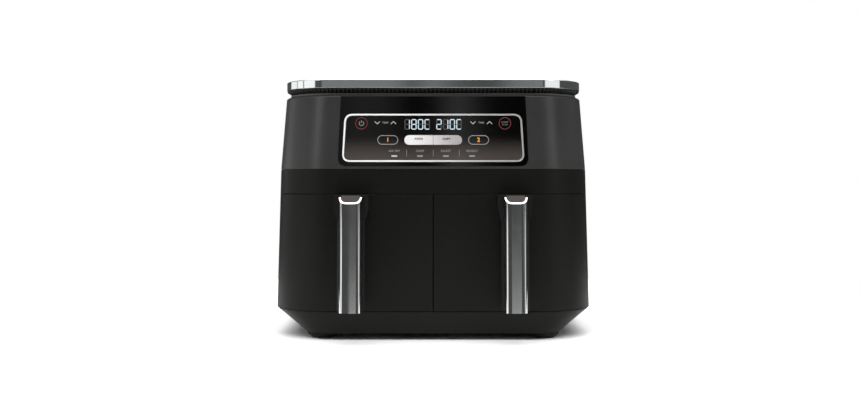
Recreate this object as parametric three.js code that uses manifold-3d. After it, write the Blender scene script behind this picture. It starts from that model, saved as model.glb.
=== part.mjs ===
// A countertop air fryer with two side-by-side drawers, built as separate pieces in millimetres.
// +Z is up, the front faces -Y, and the origin lies on the table under the middle of the whole box.
import * as THREE from "three";
import { mergeVertices } from "three/addons/utils/BufferGeometryUtils.js";
import Module from "manifold-3d";

const wasm = await Module();
wasm.setup();

// ---------------------------------------------------------------- driving dimensions

const GAP = 0.4; // between pieces that meet
const WALL = 3.2; // moulded housing walls
const TILE = 400; // larger than the whole object, for cutting tools

// Heights of the horizontal part lines.
const BASE_BOTTOM = 8;
const BASE_TOP = 34;
const DRAWER_BOTTOM = 34.8;
const DRAWER_TOP = 175.2;
const BAY_TOP = 176;
const BAND_TOP = 205.5;
const SHOULDER = 294.5;
const COLLAR = 297.5;
const VENT_EDGE = 303.7;
const VENT_TOP = 305.5;
const RIM_TOP = 315;

// Plan outlines of the housing: half width, front and back faces, corner radii along X and Y.
const WAIST = { z: DRAWER_BOTTOM, half: 197.5, front: -124, back: 168, cx: 72, cy: 80 };
const BELT = { z: BAND_TOP, half: 193.2, front: -119.5, back: 168, cx: 71, cy: 79 };
const NECKLINE = { z: SHOULDER, half: 186.8, front: -110.6, back: 168, cx: 68, cy: 76 };
const SOLE = { z: BASE_BOTTOM, half: 156.5, front: -121, back: 165, cx: 38, cy: 34 };
const RIM = { z: RIM_TOP, half: 185.5, front: -110, back: 167, cx: 62, cy: 68 };
const COLLAR_INSET = 8.5;
const RIM_WALL = 3;

// The two cooking zones are mirror images at +-ZONE_X, with the handles a little further out.
const ZONE_X = 95;
const HANDLE_X = 96.5;
const SIDES = [["left", -1], ["right", 1]];

// Drawer fronts wrap round the housing's front corners as far back as FRONT_REAR.
const FRONT_REAR = -72;
const FRONT_CORNER = 9; // radius of the rear top corner, seen from the side
const BULKHEAD = [-71, -68];
const SEAM_HALF = 0.5;

// Pan: inside the liner, wider at the top.
const PAN_BOTTOM = { z: 41, half: 72, front: -93, back: 112, cx: 26, cy: 26, arc: 5 };
const PAN_TOP = { z: 160, half: 78, front: -99, back: 118, cx: 30, cy: 30, arc: 5 };
const PAN_WALL = 1.4;
const PAN_RIM = 4;

// Sheet-metal liner round each zone, open at the front for the pan.
const LINER = { half: 86.5, front: -67, back: 130, cx: 14, cy: 14, arc: 3 };
const LINER_BOTTOM = 36.5;
const LINER_TOP = 212;
const LINER_SHEET = 0.8;
const MOUTH = { half: 84, bottom: 38, top: 164 };
const AIR_OUTLET = { half: 28, z: [180, 200] };
const PLATE_Z = 52;
const PLATE_THICK = 2;

// Heater, fan and motor share a vertical axis at the middle of each zone.
const FAN_Y = 20;
const SHAFT_R = 4;
const HEATER_Z = 178;
const HEATER_TUBE = 3.2;
const HEATER_RINGS = [66, 46];
const TERMINAL_ANGLES = [12, -4];

// Handle: a chrome channel with a crowned front, on a wider black bar that leans out towards its foot.
const HANDLE_HALF = 13.5;
const HANDLE_DEPTH = 16;
const HANDLE_FOOT = 38.5;
const HANDLE_HEAD = 172;
const HANDLE_FRONT = -176; // at the foot
const HANDLE_LEAN = 8.4; // how far the head would stand back if the bar kept the slope of its foot
const HANDLE_BOW = -2.7; // and how much that changes because the bar bows
const HANDLE_BENDS = [70, 104, 138, 160]; // heights between which the bow is cut into straight lengths
const HANDLE_SKIN = 1.8;
const HANDLE_FIT = 0.6; // between the channel and what it holds
const HANDLE_CROWN = 4; // superellipse exponent of the section
const HANDLE_SLOPE = THREE.MathUtils.degToRad(42); // of the front of its top, which is level behind
const HANDLE_RIM_Z = 164.7; // lowest point of the sloping top, at the front
const CAP_LEVEL = 174.5; // top of the cap, which rises behind the channel to the top of the drawer
const FLANGE_HALF = 16.3;
const FLANGE_DEPTH = 6;

// Control panel, on the leaning front of the upper housing. Panel coordinates: u right, v up, w out.
const PANEL_FOOT = 209.3;
const PANEL_HALF_FOOT = 115;
const PANEL_HALF_HEAD = 111.5;
const PANEL_THICK = 3;
const PANEL_CORNER = 11;
const KEY_TRAVEL_ROOM = 0.35;

const ARC = 8; // segments in a plan corner, unless the plan has an arc of its own
const ROUND = 24; // segments in a full circle

// ---------------------------------------------------------------- materials

const finish = (color, roughness, metalness) =>
  new THREE.MeshStandardMaterial({ color, roughness, metalness });
const MATERIALS = {
  charcoal: finish(0x3d3d3d, 0.55, 0),
  black: finish(0x1d1e1a, 0.55, 0),
  gloss: finish(0x0d0e0f, 0.12, 0),
  chrome: finish(0xb8bcbc, 0.1, 1),
  smoke: finish(0x4a4c4a, 0.15, 1),
  silver: finish(0xd8d8d6, 0.25, 1),
  umber: finish(0x443e3a, 0.45, 0),
  rubber: finish(0x16170f, 0.8, 0),
  coating: finish(0x2b2b2c, 0.4, 0.2),
  steel: finish(0xa9abac, 0.35, 1),
  copper: finish(0x2f5a3a, 0.5, 0),
};

// ---------------------------------------------------------------- shape tools

// A three.js geometry as a closed solid that can be joined and cut.
function solid(geometry) {
  const bare = geometry.clone();
  bare.deleteAttribute("normal");
  bare.deleteAttribute("uv");
  const merged = mergeVertices(bare, 1e-4);
  const index = Array.from(merged.index.array);
  const triVerts = [];
  for (let i = 0; i < index.length; i += 3) {
    const [a, b, c] = index.slice(i, i + 3);
    if (a !== b && b !== c && c !== a) triVerts.push(a, b, c);
  }
  return new wasm.Manifold(new wasm.Mesh({
    numProp: 3,
    vertProperties: new Float32Array(merged.attributes.position.array),
    triVerts: new Uint32Array(triVerts),
  }));
}

function geometryOf(body) {
  const mesh = body.getMesh();
  const geometry = new THREE.BufferGeometry();
  geometry.setAttribute("position", new THREE.BufferAttribute(new Float32Array(mesh.vertProperties), 3));
  geometry.setIndex(new THREE.BufferAttribute(new Uint32Array(mesh.triVerts), 1));
  geometry.computeVertexNormals();
  return geometry;
}

const join = (first, ...others) => others.reduce((whole, other) => whole.add(other), first);
const cut = (first, ...tools) => tools.reduce((whole, tool) => whole.subtract(tool), first);

// The limits of a stretch about its middle.
const span = (middle, half) => [middle - half, middle + half];

// A box between three pairs of limits.
function box([x0, x1], [y0, y1], [z0, z1]) {
  const geometry = new THREE.BoxGeometry(x1 - x0, y1 - y0, z1 - z0);
  return solid(geometry.translate((x0 + x1) / 2, (y0 + y1) / 2, (z0 + z1) / 2));
}

// An upright cylinder, or a cone frustum when the two radii differ.
function post(x, y, z0, z1, radius, top = radius, segments = ROUND) {
  const geometry = new THREE.CylinderGeometry(top, radius, z1 - z0, segments);
  return solid(geometry.rotateX(Math.PI / 2).translate(x, y, (z0 + z1) / 2));
}

// A closed solid through a stack of rings that all have the same number of points.
function loft(rings) {
  const count = rings[0].length;
  const points = rings.flat();
  const index = [];
  for (let level = 0; level < rings.length - 1; level++) {
    for (let i = 0; i < count; i++) {
      const a = level * count + i;
      const b = level * count + ((i + 1) % count);
      index.push(a, b, b + count, a, b + count, a + count);
    }
  }
  const last = (rings.length - 1) * count;
  for (let i = 1; i < count - 1; i++) {
    index.push(0, i + 1, i, last, last + i, last + i + 1);
  }
  if (volumeSign(points, index) < 0) index.reverse();
  const geometry = new THREE.BufferGeometry().setFromPoints(points);
  geometry.setIndex(index);
  return solid(geometry);
}

function volumeSign(points, index) {
  let sum = 0;
  for (let i = 0; i < index.length; i += 3) {
    const [a, b, c] = [points[index[i]], points[index[i + 1]], points[index[i + 2]]];
    sum += a.dot(b.clone().cross(c));
  }
  return Math.sign(sum);
}

// A rounded rectangle at height z, with elliptical corners, drawn in by inset.
function outline(plan, z, inset = 0, centreX = 0) {
  const arc = plan.arc ?? ARC;
  const cx = Math.max(plan.cx - inset, 1);
  const cy = Math.max(plan.cy - inset, 1);
  const right = plan.half - inset - cx;
  const front = plan.front + inset + cy;
  const back = plan.back - inset - cy;
  const corners = [[right, front, -90], [right, back, 0], [-right, back, 90], [-right, front, 180]];
  return corners.flatMap(([x, y, start]) =>
    Array.from({ length: arc + 1 }, (_, i) => {
      const angle = THREE.MathUtils.degToRad(start + (90 * i) / arc);
      return new THREE.Vector3(centreX + x + cx * Math.cos(angle), y + cy * Math.sin(angle), z);
    }),
  );
}

function blendPlans(low, high, z) {
  const t = (z - low.z) / (high.z - low.z);
  const mixed = { arc: low.arc };
  for (const key of ["half", "front", "back", "cx", "cy"]) {
    mixed[key] = low[key] + t * (high[key] - low[key]);
  }
  return mixed;
}

// The housing's plan at any height above the base: two straight stretches that meet at the belt.
const bodyPlan = (z) => (z <= BELT.z ? blendPlans(WAIST, BELT, z) : blendPlans(BELT, NECKLINE, z));

// The housing's full volume between two heights, drawn in by inset.
function bodySolid(z0, z1, inset = 0) {
  const heights = z0 < BELT.z && BELT.z < z1 ? [z0, BELT.z, z1] : [z0, z1];
  return loft(heights.map((z) => outline(bodyPlan(z), z, inset)));
}

// A straight-sided stack of one plan with its own inset at each height.
const stack = (plan, levels, centreX = 0) =>
  loft(levels.map(([z, inset]) => outline(plan, z, inset, centreX)));

// ---------------------------------------------------------------- panel frame

const PANEL_LEAN = Math.atan((NECKLINE.front - BELT.front) / (NECKLINE.z - BELT.z));
const PANEL_HEIGHT = (SHOULDER - PANEL_FOOT) / Math.cos(PANEL_LEAN);
const panelFrame = new THREE.Group();
panelFrame.position.set(0, bodyPlan(PANEL_FOOT).front, PANEL_FOOT);
panelFrame.rotation.x = Math.PI / 2 - PANEL_LEAN;
panelFrame.updateMatrixWorld(true);

// A flat piece in panel coordinates between two depths.
function slab(shape, w0, w1, curveSegments = 6) {
  const options = { depth: w1 - w0, bevelEnabled: false, curveSegments };
  return new THREE.ExtrudeGeometry(shape, options).translate(0, 0, w0);
}

const onHousing = (geometry) => solid(geometry.clone().applyMatrix4(panelFrame.matrixWorld));

// A trapezoid on the panel with rounded corners.
function trapezoid(halfFoot, halfHead, v0, v1, footRadius, headRadius) {
  const corners = [[halfFoot, v0, footRadius], [halfHead, v1, headRadius],
    [-halfHead, v1, headRadius], [-halfFoot, v0, footRadius]];
  const shape = new THREE.Shape();
  corners.forEach(([u, v, radius], i) => {
    const here = new THREE.Vector2(u, v);
    const before = new THREE.Vector2(...corners[(i + 3) % 4]).sub(here).setLength(radius).add(here);
    const after = new THREE.Vector2(...corners[(i + 1) % 4]).sub(here).setLength(radius).add(here);
    if (i === 0) shape.moveTo(before.x, before.y);
    else shape.lineTo(before.x, before.y);
    if (radius > 0) shape.quadraticCurveTo(u, v, after.x, after.y);
  });
  shape.closePath();
  return shape;
}

// A pill, or a circle when width equals height; round says which ends are rounded.
function pill(u, v, width, height, roundLeft = true, roundRight = true) {
  const r = height / 2;
  const left = u - width / 2;
  const right = u + width / 2;
  const shape = new THREE.Shape();
  shape.moveTo(roundLeft ? left + r : left, v - r);
  shape.lineTo(roundRight ? right - r : right, v - r);
  if (roundRight) shape.absarc(right - r, v, r, -Math.PI / 2, Math.PI / 2, false);
  else shape.lineTo(right, v + r);
  shape.lineTo(roundLeft ? left + r : left, v + r);
  if (roundLeft) shape.absarc(left + r, v, r, Math.PI / 2, (3 * Math.PI) / 2, false);
  shape.closePath();
  return shape;
}

// ---------------------------------------------------------------- assembly

const root = new THREE.Group();

function place(name, body, material, parent = root) {
  const mesh = new THREE.Mesh(body.isBufferGeometry ? body : geometryOf(body), MATERIALS[material]);
  mesh.name = name;
  parent.add(mesh);
  return mesh;
}

// ---------------------------------------------------------------- housing

function makeBase() {
  const DECK = 2.5; // under the drawer bay
  const outer = loft([outline(SOLE, BASE_BOTTOM), outline(WAIST, BASE_TOP)]);
  const hollow = loft([outline(SOLE, BASE_BOTTOM + WALL, WALL), outline(WAIST, BASE_TOP + 1, WALL)]);
  const deck = outer.intersect(box([-TILE, TILE], [-TILE, BULKHEAD[1]], [BASE_TOP - DECK, BASE_TOP]));
  place("base_tray", join(cut(outer, hollow), deck), "black");
}

// A foot is a button: a flat tread, then a quarter of an ellipse up to its full radius.
function footProfile() {
  const FOOT_R = 20;
  const TREAD_R = 9;
  const STEPS = 4;
  const top = BASE_BOTTOM - GAP;
  const round = Array.from({ length: STEPS + 1 }, (_, i) => {
    const angle = (Math.PI / 2) * (i / STEPS);
    return new THREE.Vector2(TREAD_R + (FOOT_R - TREAD_R) * Math.sin(angle), top * (1 - Math.cos(angle)));
  });
  return [new THREE.Vector2(0, 0), ...round, new THREE.Vector2(0, top)];
}

function makeFeet() {
  const FOOT_X = 134.5;
  const FOOT_ROWS = [["front", -92], ["rear", 136]];
  for (const [row, y] of FOOT_ROWS) {
    for (const [side, sign] of SIDES) {
      const turned = new THREE.LatheGeometry(footProfile(), ROUND);
      const foot = turned.rotateX(Math.PI / 2).translate(sign * FOOT_X, y, 0);
      place(`foot_${row}_${side}`, solid(foot), "rubber");
    }
  }
}

const REAR_COVER = { half: 116, bottom: 62, top: 286 };
const REAR_LAP = 8;
const REAR_FACE = 176;
const CORD_HOLE = { x: 98, z: 46, radius: 9 };

// The hole in the housings' back walls that the rear cover closes.
function rearOpening() {
  const { half, bottom, top } = REAR_COVER;
  const [x, y] = [half - REAR_LAP, WAIST.back];
  return box([-x, x], [y - 2 * WALL, y + 1], [bottom + REAR_LAP, top - REAR_LAP]);
}

// A round hole through the back wall, along Y.
function borehole(radius, y0, y1, segments = ROUND) {
  const geometry = new THREE.CylinderGeometry(radius, radius, y1 - y0, segments);
  return solid(geometry.translate(CORD_HOLE.x, (y0 + y1) / 2, CORD_HOLE.z));
}

// The drawer front's side outline, extruded across X: square but for its rear top corner.
function frontProfile([x0, x1], grow) {
  const top = DRAWER_TOP + grow;
  const rear = FRONT_REAR + grow;
  const r = FRONT_CORNER;
  const shape = new THREE.Shape();
  shape.moveTo(-TILE, 0);
  shape.lineTo(rear, 0);
  shape.lineTo(rear, top - r);
  shape.absarc(rear - r, top - r, r, 0, Math.PI / 2, false);
  shape.lineTo(-TILE, top);
  shape.closePath();
  const options = { depth: x1 - x0, bevelEnabled: false, curveSegments: 4 };
  const geometry = new THREE.ExtrudeGeometry(shape, options);
  const upright = new THREE.Matrix4().set(0, 0, 1, x0, 1, 0, 0, 0, 0, 1, 0, 0, 0, 0, 0, 1);
  return solid(geometry.applyMatrix4(upright));
}

function makeLowerHousing() {
  const bottom = BASE_TOP + GAP;
  const shell = cut(bodySolid(bottom, BAND_TOP), bodySolid(bottom - 1, BAND_TOP + 1, WALL));
  const drawerBay = frontProfile([-TILE, TILE], BAY_TOP - DRAWER_TOP);
  const inside = bodySolid(bottom, BAND_TOP - 1, WALL - 0.5);
  const bulkhead = inside.intersect(box([-TILE, TILE], BULKHEAD, [bottom, BAY_TOP + 3]));
  const shelf = inside.intersect(box([-TILE, TILE], [-TILE, BULKHEAD[1]], [BAY_TOP, BAY_TOP + 3]));
  const mouths = SIDES.map(([, sign]) =>
    box(span(sign * ZONE_X, MOUTH.half), [BULKHEAD[0] - 1, BULKHEAD[1] + 1], [MOUTH.bottom, MOUTH.top]));
  const body = join(cut(shell, drawerBay), bulkhead, shelf);
  const housing = cut(body, ...mouths, rearOpening(), borehole(CORD_HOLE.radius, 160, 175));
  place("lower_housing", housing, "black");
}

function panelOutline(grow) {
  return trapezoid(PANEL_HALF_FOOT + grow, PANEL_HALF_HEAD + grow, -grow, PANEL_HEIGHT + 4,
    PANEL_CORNER + grow, 0);
}

function makeUpperHousing() {
  const bottom = BAND_TOP + GAP;
  const plan = bodyPlan(SHOULDER);
  const outer = loft([
    outline(bodyPlan(bottom), bottom),
    outline(plan, SHOULDER),
    outline(plan, COLLAR, COLLAR_INSET),
  ]);
  const hollow = loft([
    outline(bodyPlan(bottom - 1), bottom - 1, WALL),
    outline(plan, SHOULDER - WALL, WALL),
    outline(plan, COLLAR - WALL, COLLAR_INSET + WALL),
    outline(plan, COLLAR + 1, COLLAR_INSET + WALL),
  ]);
  const ledge = onHousing(slab(trapezoid(PANEL_HALF_FOOT + 5, PANEL_HALF_HEAD + 5, -3, 82, 14, 0), -6, -2.6));
  const recess = onHousing(slab(panelOutline(GAP), -PANEL_THICK - GAP, 20));
  const window = onHousing(slab(trapezoid(108, 105, 5, 76, 8, 8), -12, 0));
  const housing = cut(join(cut(outer, hollow), ledge), recess, window, rearOpening());
  place("upper_housing", housing, "charcoal");
}

function makeRearCover() {
  const SLOT_PITCH = 8;
  const SLOT_ROWS = [[224, 6], [176, 3]]; // lowest slot and number of slots in each bank
  const SLOT_BANK = { x: 57, half: 40 };
  const SPACER = { x: 92, half: 14, z: [134, 150] };
  const { half, bottom, top } = REAR_COVER;
  const near = WAIST.back + GAP;
  const plate = box([-half, half], [near, near + WALL], [bottom, top]);
  const spacers = SIDES.map(([, sign]) =>
    box(span(sign * SPACER.x, SPACER.half), [near + 1, REAR_FACE], SPACER.z));
  const slots = [];
  for (const [, sign] of SIDES) {
    const reach = span(sign * SLOT_BANK.x, SLOT_BANK.half);
    for (const [first, count] of SLOT_ROWS) {
      for (let i = 0; i < count; i++) {
        const z = first + SLOT_PITCH * i;
        slots.push(box(reach, [near - 1, near + WALL + 1], [z, z + SLOT_PITCH / 2]));
      }
    }
  }
  place("rear_cover", cut(join(plate, ...spacers), ...slots), "black");
}

function makeCordGland() {
  const COLLAR_RADIUS = 13;
  const CORD_RADIUS = 3.7;
  const back = WAIST.back;
  const throat = borehole(CORD_HOLE.radius - GAP, back - 8, back + 1);
  const collar = borehole(COLLAR_RADIUS, back + GAP, back + 4);
  place("cord_gland", cut(join(throat, collar), borehole(CORD_RADIUS, back - 18, back + 8)), "rubber");
}

// ---------------------------------------------------------------- top

function makeTop() {
  const ring = cut(
    stack(RIM, [[VENT_TOP + 0.3, 0], [RIM_TOP - 1, 0], [RIM_TOP, 1]]),
    stack(RIM, [[VENT_TOP - 1, RIM_WALL], [RIM_TOP + 1, RIM_WALL]]),
  );
  place("top_ring", ring, "smoke");
  const inset = RIM_WALL + GAP;
  const cover = stack(RIM, [[VENT_TOP + 0.3, inset], [RIM_TOP - 1, inset], [RIM_TOP - 0.2, inset + 14]]);
  place("top_cover", cover, "gloss");
}

function makeVentGrille() {
  const SLOT_PITCH = 10.2;
  const SLOT_WIDTH = 5.1;
  const foot = COLLAR + GAP;
  const outer = stack(RIM, [[foot, COLLAR_INSET - 0.9], [VENT_EDGE, 0.3], [VENT_TOP, 0.3]]);
  const inner = stack(RIM, [[foot - 1, COLLAR_INSET + 2.4], [VENT_TOP + 1, COLLAR_INSET + 2.4]]);
  const slotZ = [foot + 1.2, VENT_EDGE - 0.4];
  const slots = [];
  const across = Math.floor((RIM.half - RIM.cx) / SLOT_PITCH);
  for (let i = -across; i <= across; i++) {
    const x = i * SLOT_PITCH;
    slots.push(box([x - SLOT_WIDTH / 2, x + SLOT_WIDTH / 2], [-TILE, TILE], slotZ));
  }
  const midY = (RIM.front + RIM.back) / 2;
  const deep = Math.floor(((RIM.back - RIM.front) / 2 - RIM.cy) / SLOT_PITCH);
  for (let i = -deep; i <= deep; i++) {
    const y = midY + i * SLOT_PITCH;
    slots.push(box([-TILE, TILE], [y - SLOT_WIDTH / 2, y + SLOT_WIDTH / 2], slotZ));
  }
  place("vent_grille", cut(outer, inner, ...slots), "black");
}

// ---------------------------------------------------------------- control panel

const KEYS = [
  { name: "power_key", u: -86.7, v: 52, width: 15, height: 15, material: "gloss" },
  { name: "start_stop_key", u: 86.7, v: 52, width: 15, height: 15, material: "gloss" },
  { name: "zone_1_key", u: -54.8, v: 31.7, width: 25.4, height: 11.7, material: "gloss" },
  { name: "zone_2_key", u: 54.8, v: 31.7, width: 25.4, height: 11.7, material: "gloss" },
  { name: "both_key", u: -17.5, v: 31.7, width: 34.6, height: 11.7, flatRight: true, material: "silver" },
  { name: "copy_key", u: 17.5, v: 31.7, width: 34.6, height: 11.7, flatLeft: true, material: "silver" },
];

// The bezel's centre line, a trapezoid with rounded corners, and half the width of its line.
const BEZEL = { foot: 109.1, head: 106.1, low: 6.1, high: 62.6, corner: 8, halfWidth: 1.05 };

function bezelOutline(grow) {
  const { foot, head, low, high, corner } = BEZEL;
  return trapezoid(foot + grow, head + grow, low - grow, high + grow, corner + grow, corner + grow);
}

// A line of a given half width along the bezel, between two depths.
function bezelBand(halfWidth, w0, w1) {
  const filled = solid(slab(bezelOutline(halfWidth), w0, w1));
  return cut(filled, solid(slab(bezelOutline(-halfWidth), w0 - 1, w1 + 1)));
}

// A key's outline, grown on every side by the same amount.
function keyOutline(key, grow = 0) {
  return pill(key.u, key.v, key.width + 2 * grow, key.height + 2 * grow, !key.flatLeft, !key.flatRight);
}

function makeControlPanel() {
  const plate = solid(slab(trapezoid(PANEL_HALF_FOOT, PANEL_HALF_HEAD, 0, PANEL_HEIGHT - 0.3,
    PANEL_CORNER, 0), -PANEL_THICK, 0.2));
  const holes = KEYS.map((key) => solid(slab(keyOutline(key, KEY_TRAVEL_ROOM), -10, 10)));
  const groove = bezelBand(BEZEL.halfWidth + 0.3, -1.3, 5);
  place("control_fascia", cut(plate, ...holes, groove), "gloss", panelFrame);
  place("bezel_trim", bezelBand(BEZEL.halfWidth, -1, 0.6), "silver", panelFrame);
  for (const key of KEYS) {
    const flange = solid(slab(keyOutline(key, key.flatLeft || key.flatRight ? 0 : 1), -4.7, -3.6));
    const cap = solid(slab(keyOutline(key), -4, 0.7));
    const stem = solid(slab(pill(key.u, key.v, 4, 4), -5.6, -4.4));
    place(key.name, join(cap, flange, stem), key.material, panelFrame);
  }
}

function makeElectronics() {
  const board = solid(slab(trapezoid(102, 100, 8, 70, 3, 3), -9.2, -7.6));
  const switches = KEYS.map(({ u, v }) => solid(new THREE.BoxGeometry(6, 6, 1.3).translate(u, v, -7.35)));
  place("control_board", join(board, ...switches), "copper", panelFrame);
  place("display_module", solid(slab(trapezoid(38, 38, 42.5, 59.5, 1, 1), -7.2, -3.6)), "gloss", panelFrame);
  const deck = 240; // underside of the power board
  const carrier = box([-48, 48], [76, 128], [deck, deck + 1.6]);
  const transformer = box([-40, -18], [84, 108], [deck + 1, deck + 19]);
  const relay = box([-8, 8], [82, 98], [deck + 1, deck + 14]);
  const capacitors = [[92, 23, 9], [116, 15, 6]].map(([y, tall, radius]) =>
    post(26, y, deck + 1, deck + 1 + tall, radius, radius, 12));
  const parts = [transformer, relay, ...capacitors];
  const legs = SIDES.flatMap(([, sign]) => [82, 122].map((y) =>
    box(span(sign * 44, 2), span(y, 2), [LINER_TOP + GAP, deck + 1])));
  place("power_board", join(carrier, ...parts, ...legs), "copper");
}

// ---------------------------------------------------------------- hot zone

function makeLiner(side, x) {
  const { half, front, back } = LINER;
  const [top, sheet] = [LINER_TOP, LINER_SHEET];
  const shell = cut(
    stack(LINER, [[LINER_BOTTOM, 0], [top, 0]], x),
    stack(LINER, [[LINER_BOTTOM + sheet, sheet], [top - sheet, sheet]], x),
    box(span(x, half), [front - 1, front + sheet], [LINER_BOTTOM + sheet, MOUTH.top + 1]),
    box(span(x, MOUTH.half), [front - 1, front + LINER.cy], [LINER_BOTTOM + sheet, MOUTH.top + 1]),
    box(span(x, AIR_OUTLET.half), span(back, 3), AIR_OUTLET.z),
    post(x, FAN_Y, top - 3, top + 1, SHAFT_R + 2, SHAFT_R + 2, 16),
    ...TERMINAL_ANGLES.map((angle) => {
      const { x: hx, y: hy } = ringPoint(x, HEATER_RINGS[0], angle, 0);
      return post(hx, hy, top - 3, top + 1, HEATER_TUBE + 2, HEATER_TUBE + 2, 12);
    }),
  );
  const runners = [-1, 1].map((edge) => {
    const reach = [x + edge * 79.5, x + edge * (half - sheet / 2)].sort((p, q) => p - q);
    return box(reach, [front + LINER.cy, back - LINER.cy], [154, 157.4]);
  });
  place(`cavity_liner_${side}`, join(shell, ...runners), "steel");
}

function ringPoint(x, radius, degrees, z) {
  const angle = THREE.MathUtils.degToRad(degrees);
  return new THREE.Vector3(x + radius * Math.cos(angle), FAN_Y + radius * Math.sin(angle), z);
}

// One tube: down through the liner's roof, once round outside, back round inside, and up again.
function makeHeater(side, x) {
  const RING_STEP = 24;
  const [wide, tight] = HEATER_RINGS;
  const [enter, leave] = TERMINAL_ANGLES;
  const above = LINER_TOP + 8;
  const points = [ringPoint(x, wide, enter, above), ringPoint(x, wide, enter, HEATER_Z + 8)];
  for (let angle = enter + RING_STEP; angle < 330; angle += RING_STEP) {
    points.push(ringPoint(x, wide, angle, HEATER_Z));
  }
  points.push(ringPoint(x, (wide + tight) / 2, 337, HEATER_Z));
  for (let angle = 324; angle > enter; angle -= RING_STEP) {
    points.push(ringPoint(x, tight, angle, HEATER_Z));
  }
  points.push(ringPoint(x, tight + 4, leave + 6, HEATER_Z));
  points.push(ringPoint(x, wide, leave, HEATER_Z + 8), ringPoint(x, wide, leave, above));
  const route = new THREE.CatmullRomCurve3(points, false, "centripetal");
  const section = new THREE.Shape();
  section.absarc(0, 0, HEATER_TUBE, 0, 2 * Math.PI, false);
  const tube = new THREE.ExtrudeGeometry(section, { steps: 60, extrudePath: route, curveSegments: 3 });
  place(`heater_${side}`, solid(tube), "steel");
}

function makeHeaterGuard(side, x) {
  const [z0, z1] = [167.5, 169.5];
  const BAR = 1.3;
  const HOOPS = [30, 54, 74];
  const LEG_R = 74;
  const disc = (r, from, to) => post(x, FAN_Y, from, to, r, r, 18);
  const hoop = (r) => cut(disc(r + BAR, z0, z1), disc(r - BAR, z0 - 1, z1 + 1));
  const spokes = [30, 90, 150].map((angle) => {
    const bar = new THREE.BoxGeometry(2 * LEG_R, 2 * BAR, z1 - z0);
    bar.rotateZ(THREE.MathUtils.degToRad(angle));
    return solid(bar.translate(x, FAN_Y, (z0 + z1) / 2));
  });
  const legs = [30, 150, 210, 330].map((angle) => {
    const foot = ringPoint(x, LEG_R, angle, 0);
    return box(span(foot.x, 1.5), span(foot.y, 1.5), [z0, LINER_TOP - LINER_SHEET - GAP]);
  });
  place(`heater_guard_${side}`, join(...HOOPS.map(hoop), ...spokes, ...legs), "steel");
}

function makeFan(side, x) {
  const bore = (z0, z1) => post(x, FAN_Y, z0, z1, SHAFT_R + 0.35, SHAFT_R + 0.35, 16);
  // Paddles round a hub, with a disc at one end of them.
  const wheel = (z0, z1, discZ, reach, count) => {
    const blades = Array.from({ length: count }, (_, i) => {
      const geometry = new THREE.BoxGeometry(reach - 8, 1.6, z1 - z0).rotateZ(0.35);
      geometry.translate(8 + (reach - 8) / 2, 0, 0).rotateZ((2 * Math.PI * i) / count);
      return solid(geometry.translate(x, FAN_Y, (z0 + z1) / 2));
    });
    const hub = post(x, FAN_Y, z0, z1, 11, 11, 16);
    const disc = post(x, FAN_Y, discZ, discZ + 1.4, reach);
    return cut(join(hub, disc, ...blades), bore(z0 - 1, z1 + 1));
  };
  place(`convection_fan_${side}`, wheel(187, 203, 201.6, 52, 8), "steel");
  place(`cooling_fan_${side}`, wheel(264, 276, 264, 38, 6), "black");
  place(`fan_shaft_${side}`, post(x, FAN_Y, 183, 281, SHAFT_R, SHAFT_R, 16), "steel");
}

function makeMotor(side, x) {
  const seat = LINER_TOP + GAP;
  const flange = box(span(x, 30), span(FAN_Y, 30), [seat, seat + 2]);
  const can = post(x, FAN_Y, seat + 1, 256, 27);
  const boss = post(x, FAN_Y, 255, 260, 12, 12, 16);
  const bore = post(x, FAN_Y, seat - 1, 262, SHAFT_R + 0.5, SHAFT_R + 0.5, 16);
  place(`fan_motor_${side}`, cut(join(flange, can, boss), bore), "steel");
}

function makeThermostat(side, x, sign) {
  const seat = LINER_TOP + GAP;
  const [tx, ty] = [x - sign * 52, 64]; // on the liner's roof, behind the fan and towards the middle
  const FACETS = 12;
  const disc = post(tx, ty, seat, seat + 2, 12, 12, FACETS);
  const body = join(disc, post(tx, ty, seat + 1, seat + 9, 8, 8, FACETS));
  place(`thermostat_${side}`, body, "steel");
}

// ---------------------------------------------------------------- drawers

const panPlan = (z) => blendPlans(PAN_BOTTOM, PAN_TOP, z);

function makePan(side, x) {
  const { z: bottom } = PAN_BOTTOM;
  const { z: top } = PAN_TOP;
  const floor = bottom + 2;
  const shell = cut(
    loft([outline(PAN_BOTTOM, bottom, 0, x), outline(PAN_TOP, top, 0, x)]),
    loft([outline(panPlan(floor), floor, PAN_WALL, x), outline(panPlan(top + 1), top + 1, PAN_WALL, x)]),
  );
  const rim = cut(
    stack(PAN_TOP, [[top - 2, -PAN_RIM], [top, -PAN_RIM]], x),
    stack(PAN_TOP, [[top - 3, PAN_WALL / 2], [top + 1, PAN_WALL / 2]], x),
  );
  const inside = loft([80, 130].map((z) => outline(panPlan(z), z, PAN_WALL / 2, x)));
  const bosses = [-26, 26].map((offset) =>
    cut(box(span(x + offset, 7), [-118, PAN_TOP.front + 6], [92, 112]), inside));
  place(`drawer_pan_${side}`, join(shell, rim, ...bosses), "coating");
}

// The drawer front is a hollow cap, open towards the pan.
function makeDrawerFront(side, sign, x) {
  const reach = (from, to) => (sign > 0 ? [from, to] : [-to, -from]);
  const skin = 3;
  const block = bodySolid(DRAWER_BOTTOM, DRAWER_TOP)
    .intersect(frontProfile(reach(SEAM_HALF, TILE), 0));
  const hollow = bodySolid(DRAWER_BOTTOM + skin, DRAWER_TOP - skin, skin)
    .intersect(box(reach(SEAM_HALF + skin, TILE), [-TILE, FRONT_REAR + 5], [0, TILE]));
  place(`drawer_front_${side}`, cut(block, hollow, spigot(sign * HANDLE_X, GAP)), "black");
}

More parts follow.
